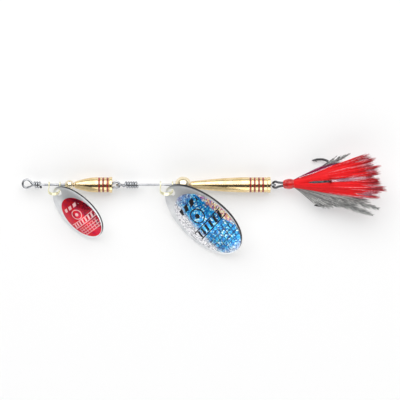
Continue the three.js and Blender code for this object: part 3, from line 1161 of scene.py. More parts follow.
@dataclass(frozen=True)
class WireShafts:
    """The two stainless shafts: the front one ends in a line tie, the rear one in the treble's eye."""

    lure: Axes
    wire: float = 0.35
    eye: float = 0.92
    wrap: float = 0.77
    pitch: float = 0.78
    tie_neck: float = 3.9
    tie_turns: float = 2.75
    front_eye: float = 29.8
    rear_eye: float = 30.84
    rear_turns: float = 5.0
    hook_eye: float = 78.55
    step: float = 0.12

    def build(self, finishes: Finishes) -> None:
        """Draws both shafts."""
        self._draw("front", self._front_points(), finishes.steel)
        self._draw("rear", self._rear_points(), finishes.steel)

    def _draw(self, unit: str, points: list[Point], material: bpy.types.Material) -> None:
        """Draws one shaft.

        Args:
            unit: The shaft's unit, front or rear.
            points: The points that its wire passes.
            material: The finish.
        """
        strands = Strands()
        strands.add(smooth_path(points, self.step), self.wire)
        piece = strands.build(f"{unit}_shaft_wire", self.lure, material)
        hand_over(piece, f"{unit}_shaft", "steel_wire", f"{unit}_wire")

    def _front_points(self) -> list[Point]:
        """The front wire: the link eye, the straight shaft, the line tie's loop and its wraps."""
        eye, neck = self.front_eye, self.tie_neck
        return [
            (eye - 2.6, -1.02, 0.0),
            (eye - 1.4, -0.98, 0.0),
            *arc(eye, self.eye, (1.0, 0.0), -125, 125),
            (eye - 1.5, 0.35, 0.0),
            *((x, 0.0, 0.0) for x in (eye - 2.4, eye - 4.0, neck + 6.0, neck + 1.2, neck + 0.3)),
            (3.35, 0.3, 0.0),
            (2.75, 1.05, 0.0),
            (1.95, 1.6, 0.0),
            (1.05, 1.5, 0.0),
            (0.45, 0.85, 0.0),
            (0.38, 0.05, 0.0),
            (0.75, -0.65, 0.0),
            (1.45, -0.9, 0.05),
            (2.3, -0.72, 0.25),
            (3.1, -0.45, 0.6),
            *wraps(neck, self.tie_turns, self.wrap, self.pitch),
        ]

    def _rear_points(self) -> list[Point]:
        """The rear wire: its wraps, the link eye, the straight shaft and the treble's eye."""
        start, eye = self.rear_eye + 1.75, self.hook_eye
        return [
            *reversed(wraps(start, self.rear_turns, self.wrap, self.pitch)),
            (start - 0.35, -0.45, 0.78),
            *arc(self.rear_eye, self.eye, (0.0, 1.0), 50, 310),
            (self.rear_eye + 1.25, 0.0, -0.35),
            *((x, 0.0, 0.0) for x in (start + 0.4, start + 1.4, start + 8.0, eye - 5.0, eye - 2.5)),
            (eye - 1.5, 0.0, 0.4),
            *arc(eye, self.eye, (0.0, 1.0), 125, -125),
            (eye - 1.4, 0.0, -0.98),
            (eye - 2.5, 0.0, -1.02),
        ]


@dataclass(frozen=True)
class BladeSizes:
    """A pressed blade and its foil."""

    length: float
    width: float
    camber: float
    thickness: float
    taper: float
    hole_inset: float
    hole: float
    foil_length: float
    foil_width: float
    foil_towards_tip: float
    foil_towards_body: float = 0.4
    foil_thickness: float = 0.16
    foil_edge: float = 0.06
    foil_gap: float = 0.02
    edge: float = 0.16
    # Where the painted dark reflection along the rim starts, as a share of the way out from the middle.
    painted_dark_rim: float = 0.955


@dataclass(frozen=True)
class Pose:
    """How a blade lies, in degrees."""

    heading: float
    pitch: float
    roll: float


@dataclass(frozen=True)
class ClevisSizes:
    """A folded clevis strip with an eared hole on each leg."""

    at: float
    bow: float
    rise: float
    thickness: float
    width: float
    ear: float
    bore: float = 0.5


@dataclass(frozen=True)
class BodySizes:
    """A bead and a turned body with lacquered grooves."""

    bead_at: float
    bead: float
    bead_half: float
    start: float
    shoulder: float
    end: float
    nose: float
    belly: float
    rim: float
    counterbore: float
    grooves: tuple[float, ...]
    bore: float = 0.5
    counterbore_radius: float = 1.75
    groove_half: float = 0.3
    groove_depth: float = 0.32
    belly_curve: int = 28


@dataclass
class SpinnerUnit:
    """One spinner: clevis, blade, foil, bead, body and rings on a shaft."""

    name: str
    lure: Axes
    blade: BladeSizes
    pose: Pose
    clevis: ClevisSizes
    body: BodySizes
    foil_slot: str
    foil_finish: Callable[[], bpy.types.Material]
    press: tuple[bpy.types.NodeTree, dict[str, str]]
    blade_axes: Axes = field(init=False)
    clevis_axes: Axes = field(init=False)

    def __post_init__(self) -> None:
        """Works out the clevis's and the blade's axes from the pose."""
        turn = (
            Matrix.Rotation(math.radians(-self.pose.heading), 3, "Z")
            @ Matrix.Rotation(math.radians(-self.pose.pitch), 3, "Y")
            @ Matrix.Rotation(math.radians(self.pose.roll), 3, "X")
        )
        along = Vector((1.0, 0.0, 0.0))
        normal = turn.col[2].copy()
        out = (normal - along * normal.x).normalized()
        hinge = along.cross(out)
        frame_turn = Matrix((along, out, hinge)).transposed()
        self.clevis_axes = self.lure.moved(self.clevis.at, turn=frame_turn)
        hole = out * self.clevis.rise + (along * normal.dot(out) - out * normal.x) * self.clevis.bow
        hole.x += self.clevis.at
        self.blade_axes = self.lure.moved(*hole, turn=turn)

    def build(self, finishes: Finishes) -> None:
        """Builds the unit's pieces."""
        self._clevis(finishes)
        self._blade(finishes)
        self._foil()
        self._bead(finishes)
        self._body(finishes)

    def _outline(self, angle: np.ndarray, inset: float = 0.0) -> np.ndarray:
        """The blade's outline at some angles, drawn in by an inset."""
        b = self.blade
        middle = b.length / 2 - b.hole_inset
        x = middle + (b.length / 2 - inset) * np.cos(angle)
        y = (b.width / 2 - inset) * np.sin(angle) * (1 + b.taper * np.cos(angle))
        return np.column_stack([x, y])

    def _pressed(
        self, name: str, points: np.ndarray, faces: list, lift: float, material: bpy.types.Material
    ) -> bpy.types.Object:
        """Presses a flat plate to the blade's dome and puts it in place.

        Args:
            name: The piece's name.
            points: The plate's points.
            faces: The plate's faces.
            lift: How far the plate's lower face lies over the blade's middle surface.
            material: The finish.

        Returns:
            The piece.
        """
        b = self.blade
        tree, keys = self.press
        along = (points[:, 0] + b.hole_inset - b.length / 2) / (b.length / 2)
        across = points[:, 1] / (b.width / 2 * (1 + b.taper * along))
        plan = np.column_stack([points[:, 0], points[:, 1], np.hypot(along, across)])
        host = new_object(name + ".flat", (points + [0.0, 0.0, lift]) * MM, faces)
        add_values(host.data, "plan", plan)
        values = {
            keys["Length"]: b.length * MM,
            keys["Width"]: b.width * MM,
            keys["Taper"]: b.taper,
            keys["Hole inset"]: b.hole_inset * MM,
            keys["Camber"]: b.camber * MM,
            keys["Finish"]: material,
        }
        piece = evaluated(host, tree, values, name)
        piece.data.transform(self.blade_axes.matrix())
        face_outwards(piece, SOFT_EDGE)
        return piece

    def _blade(self, finishes: Finishes) -> None:
        """The blade: a domed plate with a flat flange and a punched hole."""
        b = self.blade
        middle = np.array([b.length / 2 - b.hole_inset, 0.0])
        angle = np.linspace(0.0, 2 * math.pi, 160, endpoint=False)
        hole_points = 48
        rings = []
        for share in (0.985, 0.965, 0.94, 0.91, 0.87, 0.82, 0.76, 0.69, 0.61, 0.52, 0.42, 0.31, 0.2, 0.09):
            count = max(10, round(150 * share))
            turn = np.linspace(0.0, 2 * math.pi, count, endpoint=False) + share * 7
            rings.append(middle + (self._outline(turn) - middle) * (share - b.edge / b.width))
        round_hole = np.vstack([hole_loop(b.hole + margin, hole_points) for margin in (0.3, 0.5)])
        inner = np.vstack(rings)
        clear = np.hypot(inner[:, 0], inner[:, 1]) > b.hole + 0.6
        from_middle = (round_hole - middle) / (b.length / 2, b.width / 2)
        inner = np.vstack([inner[clear], round_hole[(from_middle**2).sum(axis=1) < 0.86]])
        hole = hole_loop(b.hole, hole_points)
        points, faces = plate([self._outline(angle), hole], inner, b.thickness, b.edge)
        steel = BladeSteel(f"{self.name.title()} blade steel", b.width, rim_start=b.painted_dark_rim).material()
        piece = self._pressed(f"{self.name}_spinner_blade", points, faces, -b.thickness / 2, steel)
        hand_over(piece, f"{self.name}_blade", "blade_steel", f"{self.name}_blade")

    def _foil(self) -> None:
        """The foil that is bonded on the dome."""
        b = self.blade
        angle = np.linspace(0.0, 2 * math.pi, 140, endpoint=False)
        middle = np.array([b.length / 2 - b.hole_inset + b.foil_towards_tip, b.foil_towards_body])
        round_it = np.column_stack([b.foil_length / 2 * np.cos(angle), b.foil_width / 2 * np.sin(angle)])
        shares = (0.96, 0.9, 0.82, 0.72, 0.6, 0.46, 0.3, 0.14)
        inner = np.vstack([middle + round_it[:: 1 + int(4 * (1 - share))] * share for share in shares])
        points, faces = plate([middle + round_it], inner, b.foil_thickness, b.foil_edge)
        material = self.foil_finish()
        lift = b.thickness / 2 + b.foil_gap
        piece = self._pressed(f"{self.name}_bonded_foil", points, faces, lift, material)
        hand_over(piece, f"{self.name}_blade", self.foil_slot, f"{self.name}_foil")

    def _clevis(self, finishes: Finishes) -> None:
        """The clevis: a flat blank with two eared holes, folded to a U."""
        c = self.clevis
        half_bend = c.bow * math.pi / 2
        reach = half_bend + c.rise
        half = c.width / 2
        neck = math.asin(half / c.ear)
        ear = np.linspace(-math.pi + neck, math.pi - neck, 40)
        side = np.linspace(reach - c.ear * math.cos(neck), -(reach - c.ear * math.cos(neck)), 60)[1:-1]
        outline = np.vstack(
            [
                np.column_stack([reach + c.ear * np.cos(ear), c.ear * np.sin(ear)]),
                np.column_stack([side, np.full(len(side), half)]),
                np.column_stack([-reach - c.ear * np.cos(ear), -c.ear * np.sin(ear)]),
                np.column_stack([-side, np.full(len(side), -half)]),
            ]
        )
        holes = [hole_loop(c.bore, 28) + (at, 0.0) for at in (reach, -reach)]
        grid = np.array([(x, y) for x in side[::2] for y in np.linspace(-half, half, 7)[1:-1]])
        points, faces = plate([outline, *holes], grid, c.thickness, c.thickness * 0.36)
        folded = np.empty_like(points)
        radius = c.bow + points[:, 2] - c.thickness / 2
        bend = np.clip(points[:, 0] / half_bend, -1.0, 1.0) * math.pi / 2
        beyond = np.abs(points[:, 0]) - half_bend
        folded[:, 0] = radius * np.sin(bend)
        folded[:, 1] = np.where(beyond > 0, c.rise - beyond, c.rise + radius * np.cos(bend))
        folded[:, 2] = points[:, 1]
        piece = new_object(f"{self.name}_clevis_strip", folded * MM, faces)
        piece.data.transform(self.clevis_axes.matrix())
        face_outwards(piece)
        piece.data.materials.append(finishes.clevis)
        hand_over(piece, f"{self.name}_clevis", "clevis_brass", f"{self.name}_clevis")

    def _bead(self, finishes: Finishes) -> None:
        """The bored ball bead."""
        b = self.body
        reach = math.sqrt(b.bead**2 - b.bead_half**2)
        angle = np.linspace(math.pi - math.asin(reach / b.bead), math.asin(reach / b.bead), 30)
        ball = [(b.bead * math.sin(a), b.bead_at + b.bead * math.cos(a)) for a in angle]
        lip = 0.08
        bore = [
            (b.bore + lip, b.bead_at + b.bead_half),
            (b.bore, b.bead_at + b.bead_half - lip),
            (b.bore, b.bead_at - b.bead_half + lip),
            (b.bore + lip, b.bead_at - b.bead_half),
        ]
        piece = turned(f"{self.name}_ball_bead", ball + bore, self.lure, finishes.bead)
        hand_over(piece, f"{self.name}_bead", "polished_brass", f"{self.name}_bead")

    def _body(self, finishes: Finishes) -> None:
        """The turned body and the lacquer in its grooves."""
        b = self.body
        share = np.linspace(0.0, 1.0, b.belly_curve)
        ogive = [
            (b.nose + (b.belly - b.nose) * math.sin(s * math.pi / 2), b.start + (b.shoulder - b.start) * s)
            for s in share
        ]
        floor = b.belly - b.groove_depth
        lip = 0.05
        cuts = [
            point
            for x in b.grooves
            for point in (
                (b.belly, x - b.groove_half - lip),
                (b.belly - lip, x - b.groove_half),
                (floor, x - b.groove_half),
                (floor, x + b.groove_half),
                (b.belly - lip, x + b.groove_half),
                (b.belly, x + b.groove_half + lip),
            )
        ]
        rim = rounded(
            [
                (b.belly, b.end - 0.95),
                (b.rim, b.end - 0.75),
                (b.rim, b.end),
                (b.counterbore_radius, b.end),
                (b.counterbore_radius, b.end - b.counterbore),
                (b.bore, b.end - b.counterbore),
            ],
            0.12,
        )
        nose_lip = [(b.bore, b.start + 0.1), (b.bore + 0.1, b.start), (b.nose - 0.12, b.start)]
        profile = nose_lip + [(b.nose, b.start + 0.12)] + ogive[1:] + cuts + rim
        piece = turned(f"{self.name}_turned_body", profile, self.lure, finishes.brass)
        hand_over(piece, f"{self.name}_body", "polished_brass", f"{self.name}_body")
        for number, x in enumerate(b.grooves, 1):
            half = b.groove_half - 0.03
            crown = [
                (b.belly - 0.06 + 0.05 * math.cos(t * math.pi / 2), x + half * t)
                for t in np.linspace(-1, 1, 9)
            ]
            section = [(floor + 0.02, x + half), (floor + 0.02, x - half)]
            ring = turned(f"{self.name}_groove_lacquer_{number}", crown + section, self.lure, finishes.ring)
            hand_over(ring, f"{self.name}_body", "red_lacquer", f"{self.name}_ring_{number}")


@dataclass(frozen=True)
class TrebleHook:
    """The treble: two hooks bent from one wire with the eye, a third beside them, and the bound head."""

    axes: Axes
    wire: float = 0.36
    eye: float = 0.95
    shank: float = 0.55
    shank_start: float = 2.75
    bend: float = 14.9
    reach: float = 8.4
    barb_start: float = 13.4
    point: float = 12.2
    angles: tuple[float, float, float] = (-30.0, 210.0, 90.0)
    head_start: float = 3.45
    head_end: float = 7.15
    head_bore: float = 1.0
    head_end_radius: float = 1.08
    head_middle: float = 1.6
    needle: float = 1.75
    thread: float = 0.075
    step: float = 0.16

    def _place(self, angle: float, x: float, radius: float) -> tuple[float, float, float]:
        """A point at a station and a radius, at an angle about the shank."""
        return x, radius * math.cos(math.radians(angle)), radius * math.sin(math.radians(angle))

    def _leg(self, angle: float) -> list[Point]:
        """The points of one hook from the shank to its point."""
        bend = (self.reach - self.shank) / 2
        shank = [self._place(angle, x, self.shank) for x in (self.shank_start + 0.6, 6.0, 10.0, 13.4)]
        turn = [
            self._place(angle, self.bend + bend * math.cos(a), self.shank + bend + bend * math.sin(a))
            for a in np.radians(np.linspace(-90, 90, 11))
        ]
        rest = [
            self._place(angle, self.barb_start, self.reach - 0.05),
            self._place(angle, self.point, self.reach - 0.2),
        ]
        return shank + turn + rest

    def _thickness(self, path: np.ndarray, tips: list[int]) -> np.ndarray:
        """The wire's half width: ground to a needle over the last stretch before each tip."""
        thick = np.full(len(path), self.wire)
        for tip in tips:
            run = np.linalg.norm(path - path[tip], axis=1)
            near = run < (self.barb_start - self.point) * 1.25
            thick[near] = self.wire * np.clip(0.06 + 0.94 * (run[near] / self.needle) ** 0.7, 0.05, 1.0)
        return thick

    def _barb(self, strands: Strands, angle: float) -> None:
        """Adds the barb cut up from the inner side of a hook's point."""
        path = [
            self._place(angle, self.barb_start - 0.75, self.reach - 0.2),
            self._place(angle, self.barb_start - 0.1, self.reach - 0.42),
            self._place(angle, self.barb_start + 0.65, self.reach - 0.86),
        ]
        line = smooth_path(path, 0.1)
        strands.add(line, np.linspace(0.28, 0.03, len(line)))

    def build(self, finishes: Finishes) -> None:
        """Builds the hooks and the head."""
        pair = Strands()
        eye = arc(self.eye, self.eye, (1.0, 0.0), 52, 308, 15)
        left, right = (self._leg(angle) for angle in self.angles[:2])
        path = smooth_path([*reversed(left), *eye, *right], self.step)
        pair.add(path, self._thickness(path, [0, -1]))
        for angle in self.angles[:2]:
            self._barb(pair, angle)
        piece = pair.build("treble_hook_pair", self.axes, finishes.nickel)
        hand_over(piece, "treble", "hook_nickel", "treble_double_hook")

        third = Strands()
        path = smooth_path(self._leg(self.angles[2]), self.step)
        third.add(path, self._thickness(path, [-1]))
        self._barb(third, self.angles[2])
        piece = third.build("treble_third_hook", self.axes, finishes.nickel)
        hand_over(piece, "treble", "hook_nickel", "treble_single_hook")
        self._head(finishes)

    def _radius(self, share: np.ndarray | float) -> np.ndarray:
        """The bound head's radius from its front, 0, to its back, 1."""
        swell = np.sin(np.pi * np.clip(share, 0.0, 1.0)) ** 0.85
        return self.head_end_radius + (self.head_middle - self.head_end_radius) * swell

    def _head(self, finishes: Finishes) -> None:
        """The bound head: a lacquered barrel with the thread's turns standing through."""
        span = self.head_end - self.head_start
        shares = np.linspace(0.0, 1.0, 26)
        barrel = [(float(self._radius(s)), self.head_start + span * s) for s in shares]
        barrel[0] = (self.head_end_radius - 0.1, self.head_start)
        bore = [(self.head_bore, self.head_end), (self.head_bore, self.head_start)]
        piece = turned("bound_head", barrel + bore, self.axes, finishes.head, 64)
        hand_over(piece, "treble", "thread_lacquer", "thread_head")
        turns = span / (self.thread * 2.1)
        steps = np.linspace(0.0, 1.0, round(turns * 20))
        angle = steps * turns * 2 * math.pi
        radius = self._radius(0.04 + steps * 0.92) - 0.01
        coil = np.column_stack(
            [self.head_start + span * (0.04 + steps * 0.92), radius * np.cos(angle), radius * np.sin(angle)]
        )
        thread = Strands()
        thread.add(coil, self.thread)
        piece = thread.build("head_thread_turns", self.axes, finishes.head, sides=6)
        hand_over(piece, "treble", "thread_lacquer")


@dataclass(frozen=True)
class Fan:
    """A bundle of barbs that spread from the head to a ragged edge."""

    roots: tuple[Point, Point]
    tips: tuple[Point, ...]
    count: int
    half_width: float
    locks: int
    seed: int
    swell: float = 0.8
    ragged: float = 0.16
    wave: float = 0.25
    depth: float = 0.7

    def add_to(self, strands: Strands) -> None:
        """Lays the barbs.

        Args:
            strands: What they are added to.
        """
        rng = np.random.default_rng(self.seed)
        ends = np.array(self.tips)
        knots = np.linspace(0.0, 1.0, len(ends))
        t = np.linspace(0.0, 1.0, 12)
        first, last = (np.array(p) for p in self.roots)
        lock_length = rng.uniform(1.0 - self.ragged * 0.5, 1.0, self.locks)
        for number in range(self.count):
            share = (number + rng.uniform(0.0, 1.0)) / self.count
            lock = min(self.locks - 1, int(share * self.locks))
            centre = (lock + 0.5) / self.locks
            pulled = share + (centre - share) * rng.uniform(0.45, 0.95)
            offset = abs(share - centre) * 2 * self.locks
            root = first + (last - first) * share
            straight = np.array([np.interp(share, knots, ends[:, axis]) for axis in range(3)])
            gathered = np.array([np.interp(pulled, knots, ends[:, axis]) for axis in range(3)])
            shortened = 0.6 * offset**1.3 + 0.4 * rng.uniform(0.0, 1.0) ** 1.5
            length = lock_length[lock] * (1.0 - self.ragged * shortened)
            level = rng.uniform(-0.5, 0.5) * self.depth
            path = root + (straight - root) * length * t[:, None] + (gathered - straight) * (t**4)[:, None]
            path[:, 2] += (self.swell * math.sin(math.pi * (0.15 + 0.7 * share)) + level) * np.sin(
                math.pi * t**0.8
            )
            sway = rng.normal(0.0, self.wave) * t**2 + rng.normal(0.0, self.wave * 0.35) * np.sin(
                t * rng.uniform(4.0, 9.0) + rng.uniform(0.0, 6.0)
            ) * t**1.5
            path[:, 1] += sway
            path[:, 2] += rng.normal(0.0, self.wave * 0.6) * t**3
            taper = self.half_width * rng.uniform(0.7, 1.3) * (1.0 - 0.85 * t**3)
            strands.add(path, taper, rng.uniform(0.0, 1.0))


@dataclass(frozen=True)
class Hackle:
    """One feather: a quill with barbs down both sides."""

    quill: tuple[Point, ...]
    barb: float
    angle: float
    count: int
    seed: int
    half_width: float = 0.11
    sides: tuple[float, float] = (1.0, 1.0)
    bare: float = 0.04

    def add_to(self, strands: Strands) -> None:
        """Lays the quill and its barbs.

        Args:
            strands: What they are added to.
        """
        rng = np.random.default_rng(self.seed)
        stem = smooth_path(list(self.quill), 0.4)
        strands.add(stem, np.linspace(0.2, 0.05, len(stem)), 0.95)
        t = np.linspace(0.0, 1.0, 8)
        for side, share in zip((1.0, -1.0), self.sides):
            for place in np.linspace(self.bare, 0.99, self.count):
                at = place * (len(stem) - 2)
                low = int(at)
                here = stem[low] + (stem[low + 1] - stem[low]) * (at - low)
                along = stem[low + 1] - stem[low]
                along /= np.linalg.norm(along)
                out = np.array([-along[1], along[0], 0.0]) * side
                out /= np.linalg.norm(out)
                profile = min(1.0, (place - self.bare + 0.04) * 5.0) * min(1.0, (1.05 - place) * 3.0) ** 0.7
                length = self.barb * share * profile * rng.uniform(0.75, 1.1)
                if length < 0.3:
                    continue
                lean = math.radians(self.angle + rng.normal(0.0, 5.0))
                curl = rng.uniform(-0.1, 0.35)
                reach = np.outer(t * length, along * math.cos(lean)) + np.outer(
                    (t - curl * t**2 * 0.5) * length, out * math.sin(lean)
                )
                path = here + reach
                path[:, 2] += rng.normal(0.0, 0.12) * t**2 * length + rng.uniform(-0.12, 0.12)
                taper = self.half_width * rng.uniform(0.7, 1.3) * (1.0 - 0.8 * t**2)
                strands.add(path, taper, rng.uniform(0.0, 1.0))


@dataclass(frozen=True)
class FeatherDressing:
    """The dressing behind the head: red hackles over grey ones, plum edges and tinsel."""

    axes: Axes
    barb: float = 0.14
    thick_barb: float = 0.14 * 1.3
    tinsel: float = 0.045
    ribbon_sides: int = 4
    ribbon_flatness: float = 0.45

    def build(self, finishes: Finishes) -> None:
        """Builds the dressing's pieces."""
        self._red_hackles(finishes)
        self._grey_hackles(finishes)
        self._tinsel_strands(finishes)

    def _red_hackles(self, finishes: Finishes) -> None:
        """The two red lobes, each a bright surface over a deeper layer, and their plum edge."""
        upper = (
            Fan(
                ((6.9, 0.15, 1.2), (6.9, 1.05, 0.8)),
                ((33.0, 0.5, 1.5), (34.0, 1.3, 1.7), (36.2, 2.1, 1.9), (35.2, 3.4, 1.8),
                 (34.6, 4.6, 1.6), (34.0, 5.8, 1.3), (32.6, 7.2, 1.0), (32.2, 8.7, 0.9)),
                count=620, half_width=self.barb, locks=11, seed=11,
                swell=1.3, ragged=0.15, wave=0.26, depth=0.3,
            ),
            Fan(
                ((6.9, 0.1, 0.8), (6.9, 1.1, 0.5)),
                ((30.5, 0.2, 0.8), (32.5, 2.0, 0.9), (32.5, 4.2, 0.6), (31.4, 6.4, 0.4), (30.0, 8.0, 0.3)),
                count=340, half_width=self.thick_barb, locks=12, seed=12, swell=0.4, depth=0.3,
            ),
        )
        lower = (
            Fan(
                ((6.9, -0.15, 1.2), (6.9, -1.05, 0.8)),
                ((34.2, 0.3, 2.0), (35.4, -0.5, 2.2), (35.2, -1.4, 2.1), (37.2, -2.6, 2.0),
                 (36.4, -3.4, 1.9), (35.6, -4.3, 1.7), (34.8, -5.2, 1.6), (33.6, -6.4, 1.3)),
                count=600, half_width=self.barb, locks=9, seed=21,
                swell=1.3, ragged=0.15, wave=0.26, depth=0.3,
            ),
            Fan(
                ((6.9, -0.1, 0.9), (6.9, -1.1, 0.6)),
                ((31.0, 0.1, 1.3), (33.0, -2.4, 1.3), (32.0, -4.6, 1.1), (30.0, -5.9, 0.9)),
                count=320, half_width=self.thick_barb, locks=10, seed=22, swell=0.4, depth=0.3,
            ),
        )
        plum = (
            Fan(
                ((6.8, 0.95, 0.7), (6.8, 1.15, 0.3)),
                ((20.0, 4.9, 0.9), (24.0, 6.5, 0.5), (22.0, 6.5, 0.2), (17.5, 5.9, 0.1)),
                count=70, half_width=self.barb, locks=4, seed=31, swell=0.2,
            ),
        )
        self._bundle("red_hackles_upper", upper, finishes.red, "red", "red_feather_top", "red_feather_upper")
        self._bundle(
            "red_hackles_lower", lower, finishes.red, "red", "red_feather_lower", "red_feather_bottom"
        )
        self._bundle("plum_edge_hackles", plum, finishes.plum, "red")

    def _grey_hackles(self, finishes: Finishes) -> None:
        """The grey bed and its two long feathers below, and the two thin dark feathers on top."""
        under = (
            Fan(
                ((6.8, -0.9, 0.35), (6.8, -1.1, -0.1)),
                ((31.5, -6.7, 0.2), (29.6, -7.6, 0.0), (27.5, -8.8, -0.2), (24.6, -9.0, -0.3),
                 (21.8, -8.4, -0.4), (19.4, -8.6, -0.5), (16.6, -8.4, -0.6), (14.4, -7.1, -0.7),
                 (12.2, -5.2, -0.7)),
                count=560, half_width=0.15, locks=14, seed=41, swell=0.3, ragged=0.2, wave=0.3,
            ),
            Hackle(
                ((6.8, -1.0, 0.3), (15.0, -3.2, 0.5), (24.0, -6.0, 0.4), (33.0, -9.3, 0.2)),
                barb=3.4, angle=24.0, count=90, seed=42,
            ),
            Hackle(
                ((6.8, -1.1, 0.0), (13.0, -3.8, 0.1), (22.0, -7.4, 0.0), (31.0, -11.2, -0.2)),
                barb=3.3, angle=26.0, count=90, seed=43, sides=(1.0, 0.75),
            ),
        )
        top = (
            Hackle(
                ((6.8, 0.9, 0.2), (13.0, 3.4, 0.3), (19.0, 5.9, 0.3), (25.0, 8.5, 0.2)),
                barb=2.0, angle=20.0, count=34, seed=44, half_width=0.13, bare=0.5,
            ),
            Hackle(
                ((6.8, 0.8, 0.2), (13.0, 3.5, 0.2), (18.3, 6.4, 0.2), (20.8, 8.0, 0.1)),
                barb=1.2, angle=20.0, count=18, seed=45, half_width=0.12, sides=(0.6, 1.0), bare=0.62,
            ),
        )
        self._bundle(
            "grey_hackles_under", under, finishes.grey, "grey", "grey_feather_low", "grey_feather_side"
        )
        self._bundle("dark_hackle_top", top, finishes.grey, "grey", "dark_feather_top")

    def _tinsel_strands(self, finishes: Finishes) -> None:
        """Tinsel in the split, in the fringe above and below it, and along the upper edge."""
        tinsel = (
            Fan(
                ((13.0, 0.2, 1.5), (15.0, -0.2, 1.6)),
                ((33.5, 1.4, 2.6), (34.0, 0.6, 2.7), (34.0, -0.3, 2.6)),
                count=34, half_width=self.tinsel, locks=34, seed=51, swell=0.8, ragged=0.3, wave=0.3,
            ),
            Fan(
                ((12.0, 1.0, 0.2), (12.0, 3.0, -0.6)),
                ((35.6, 2.2, 2.6), (34.6, 5.2, 2.3), (32.4, 8.1, 1.5)),
                count=110, half_width=self.tinsel, locks=110, seed=52,
                swell=0.2, ragged=0.2, wave=0.4, depth=1.2,
            ),
            Fan(
                ((8.5, 1.75, 1.7), (9.5, 1.9, 1.6)),
                ((21.0, 5.2, 1.9), (22.0, 5.6, 1.7)),
                count=7, half_width=0.06, locks=7, seed=53, swell=0.2, ragged=0.5, wave=0.2,
            ),
            Fan(
                ((12.0, -0.6, 0.3), (12.0, -2.4, 0.2)),
                ((36.0, -1.4, 2.8), (35.8, -4.2, 2.6), (33.4, -6.3, 2.2)),
                count=90, half_width=self.tinsel, locks=90, seed=54,
                swell=0.2, ragged=0.2, wave=0.4, depth=1.2,
            ),
        )
        self._bundle("tinsel_strands", tinsel, finishes.tinsel, "red")

    def _bundle(
        self,
        name: str,
        parts: tuple[Fan | Hackle, ...],
        material: bpy.types.Material,
        colour: str,
        *nodes: str,
    ) -> None:
        """Draws some fans and hackles as one piece.

        Args:
            name: The piece's name.
            parts: The fans and hackles.
            material: The finish.
            colour: The colour that names the record's feather slot.
            nodes: The nodes that the piece replaces.
        """
        strands = Strands()
        for one in parts:
            one.add_to(strands)
        piece = strands.build(
            name, self.axes, material, Section.RIBBON, self.ribbon_sides, self.ribbon_flatness
        )
        hand_over(piece, "treble", f"{colour}_feather", *nodes)


# ---- the studio ----


@dataclass(frozen=True)
class Studio:
    """A pale table, soft lights and a camera that looks straight down at the lure."""

    lure: Axes
    lens: float = 200.0
    sensor: float = 36.0
    field_of_view: float = 125.0
    aim: tuple[float, float, float] = (55.94, -4.75, 2.4)
    table_half: float = 3.0
    table_grey: float = 0.62
    table_glow: float = 0.33
    horizon: float = 0.50
    zenith: float = 0.06

    def build(self) -> None:
        """Sets up the table, the lights and the camera."""
        self._table()
        self._world()
        self._lamp("Broad soft light", (0.0, 0.45, 0.60), (1.2, 0.8), 7.4)
        self._lamp("Fill light", (0.0, -0.68, 0.40), (1.2, 0.6), 3.8)
        self._camera()

    def _table(self) -> None:
        """The plain pale table."""
        half = self.table_half
        corners = np.array([(-half, -half, 0.0), (half, -half, 0.0), (half, half, 0.0), (-half, half, 0.0)])
        table = new_object("studio_table", corners, [(0, 1, 2, 3)])
        paint = Paint("Pale table")
        glow = {"Emission Color": (1.0, 1.0, 1.0), "Emission Strength": self.table_glow}
        plain = {"Base Color": (self.table_grey,) * 3, "Roughness": 0.9}
        table.data.materials.append(paint.finish({**plain, **glow}))

    def _world(self) -> None:
        """Even light from all round."""
        world = bpy.data.worlds.new("Studio")
        bpy.context.scene.world = world
        world.use_nodes = True
        sky = NodeMaker(world.node_tree)
        _, _, up = sky.split(sky.node("ShaderNodeTexCoord").outputs["Generated"])
        strength = self.horizon + (self.zenith - self.horizon) * up.ramp(0.3, 0.8)
        sky.fill(world.node_tree.nodes["Background"].inputs["Color"], (1.0, 1.0, 1.0))
        sky.fill(world.node_tree.nodes["Background"].inputs["Strength"], strength)
        bpy.context.scene.view_settings.view_transform = "Standard"

    @staticmethod
    def _lamp(name: str, place: tuple[float, float, float], size: tuple[float, float], power: float) -> None:
        """A soft rectangular light turned towards the lure.

        Args:
            name: Its name.
            place: Where it stands, in metres.
            size: Its width and height in metres.
            power: Its power in watts.
        """
        data = bpy.data.lights.new(name, "AREA")
        data.shape = "RECTANGLE"
        data.size, data.size_y = size
        data.energy = power
        lamp = bpy.data.objects.new(name, data)
        lamp.location = place
        lamp.rotation_euler = (-Vector(place)).to_track_quat("-Z", "Y").to_euler()
        bpy.context.scene.collection.objects.link(lamp)

    def _camera(self) -> None:
        """The camera over the lure."""
        data = bpy.data.cameras.new("Camera")
        data.lens = self.lens
        data.sensor_width = self.sensor
        camera = bpy.data.objects.new("Camera", data)
        height = self.field_of_view * self.lens / self.sensor
        camera.location = self.lure.at(*self.aim) + Vector((0.0, 0.0, height * MM))
        bpy.context.scene.collection.objects.link(camera)
        bpy.context.scene.camera = camera


# ---- the lure's own sizes ----

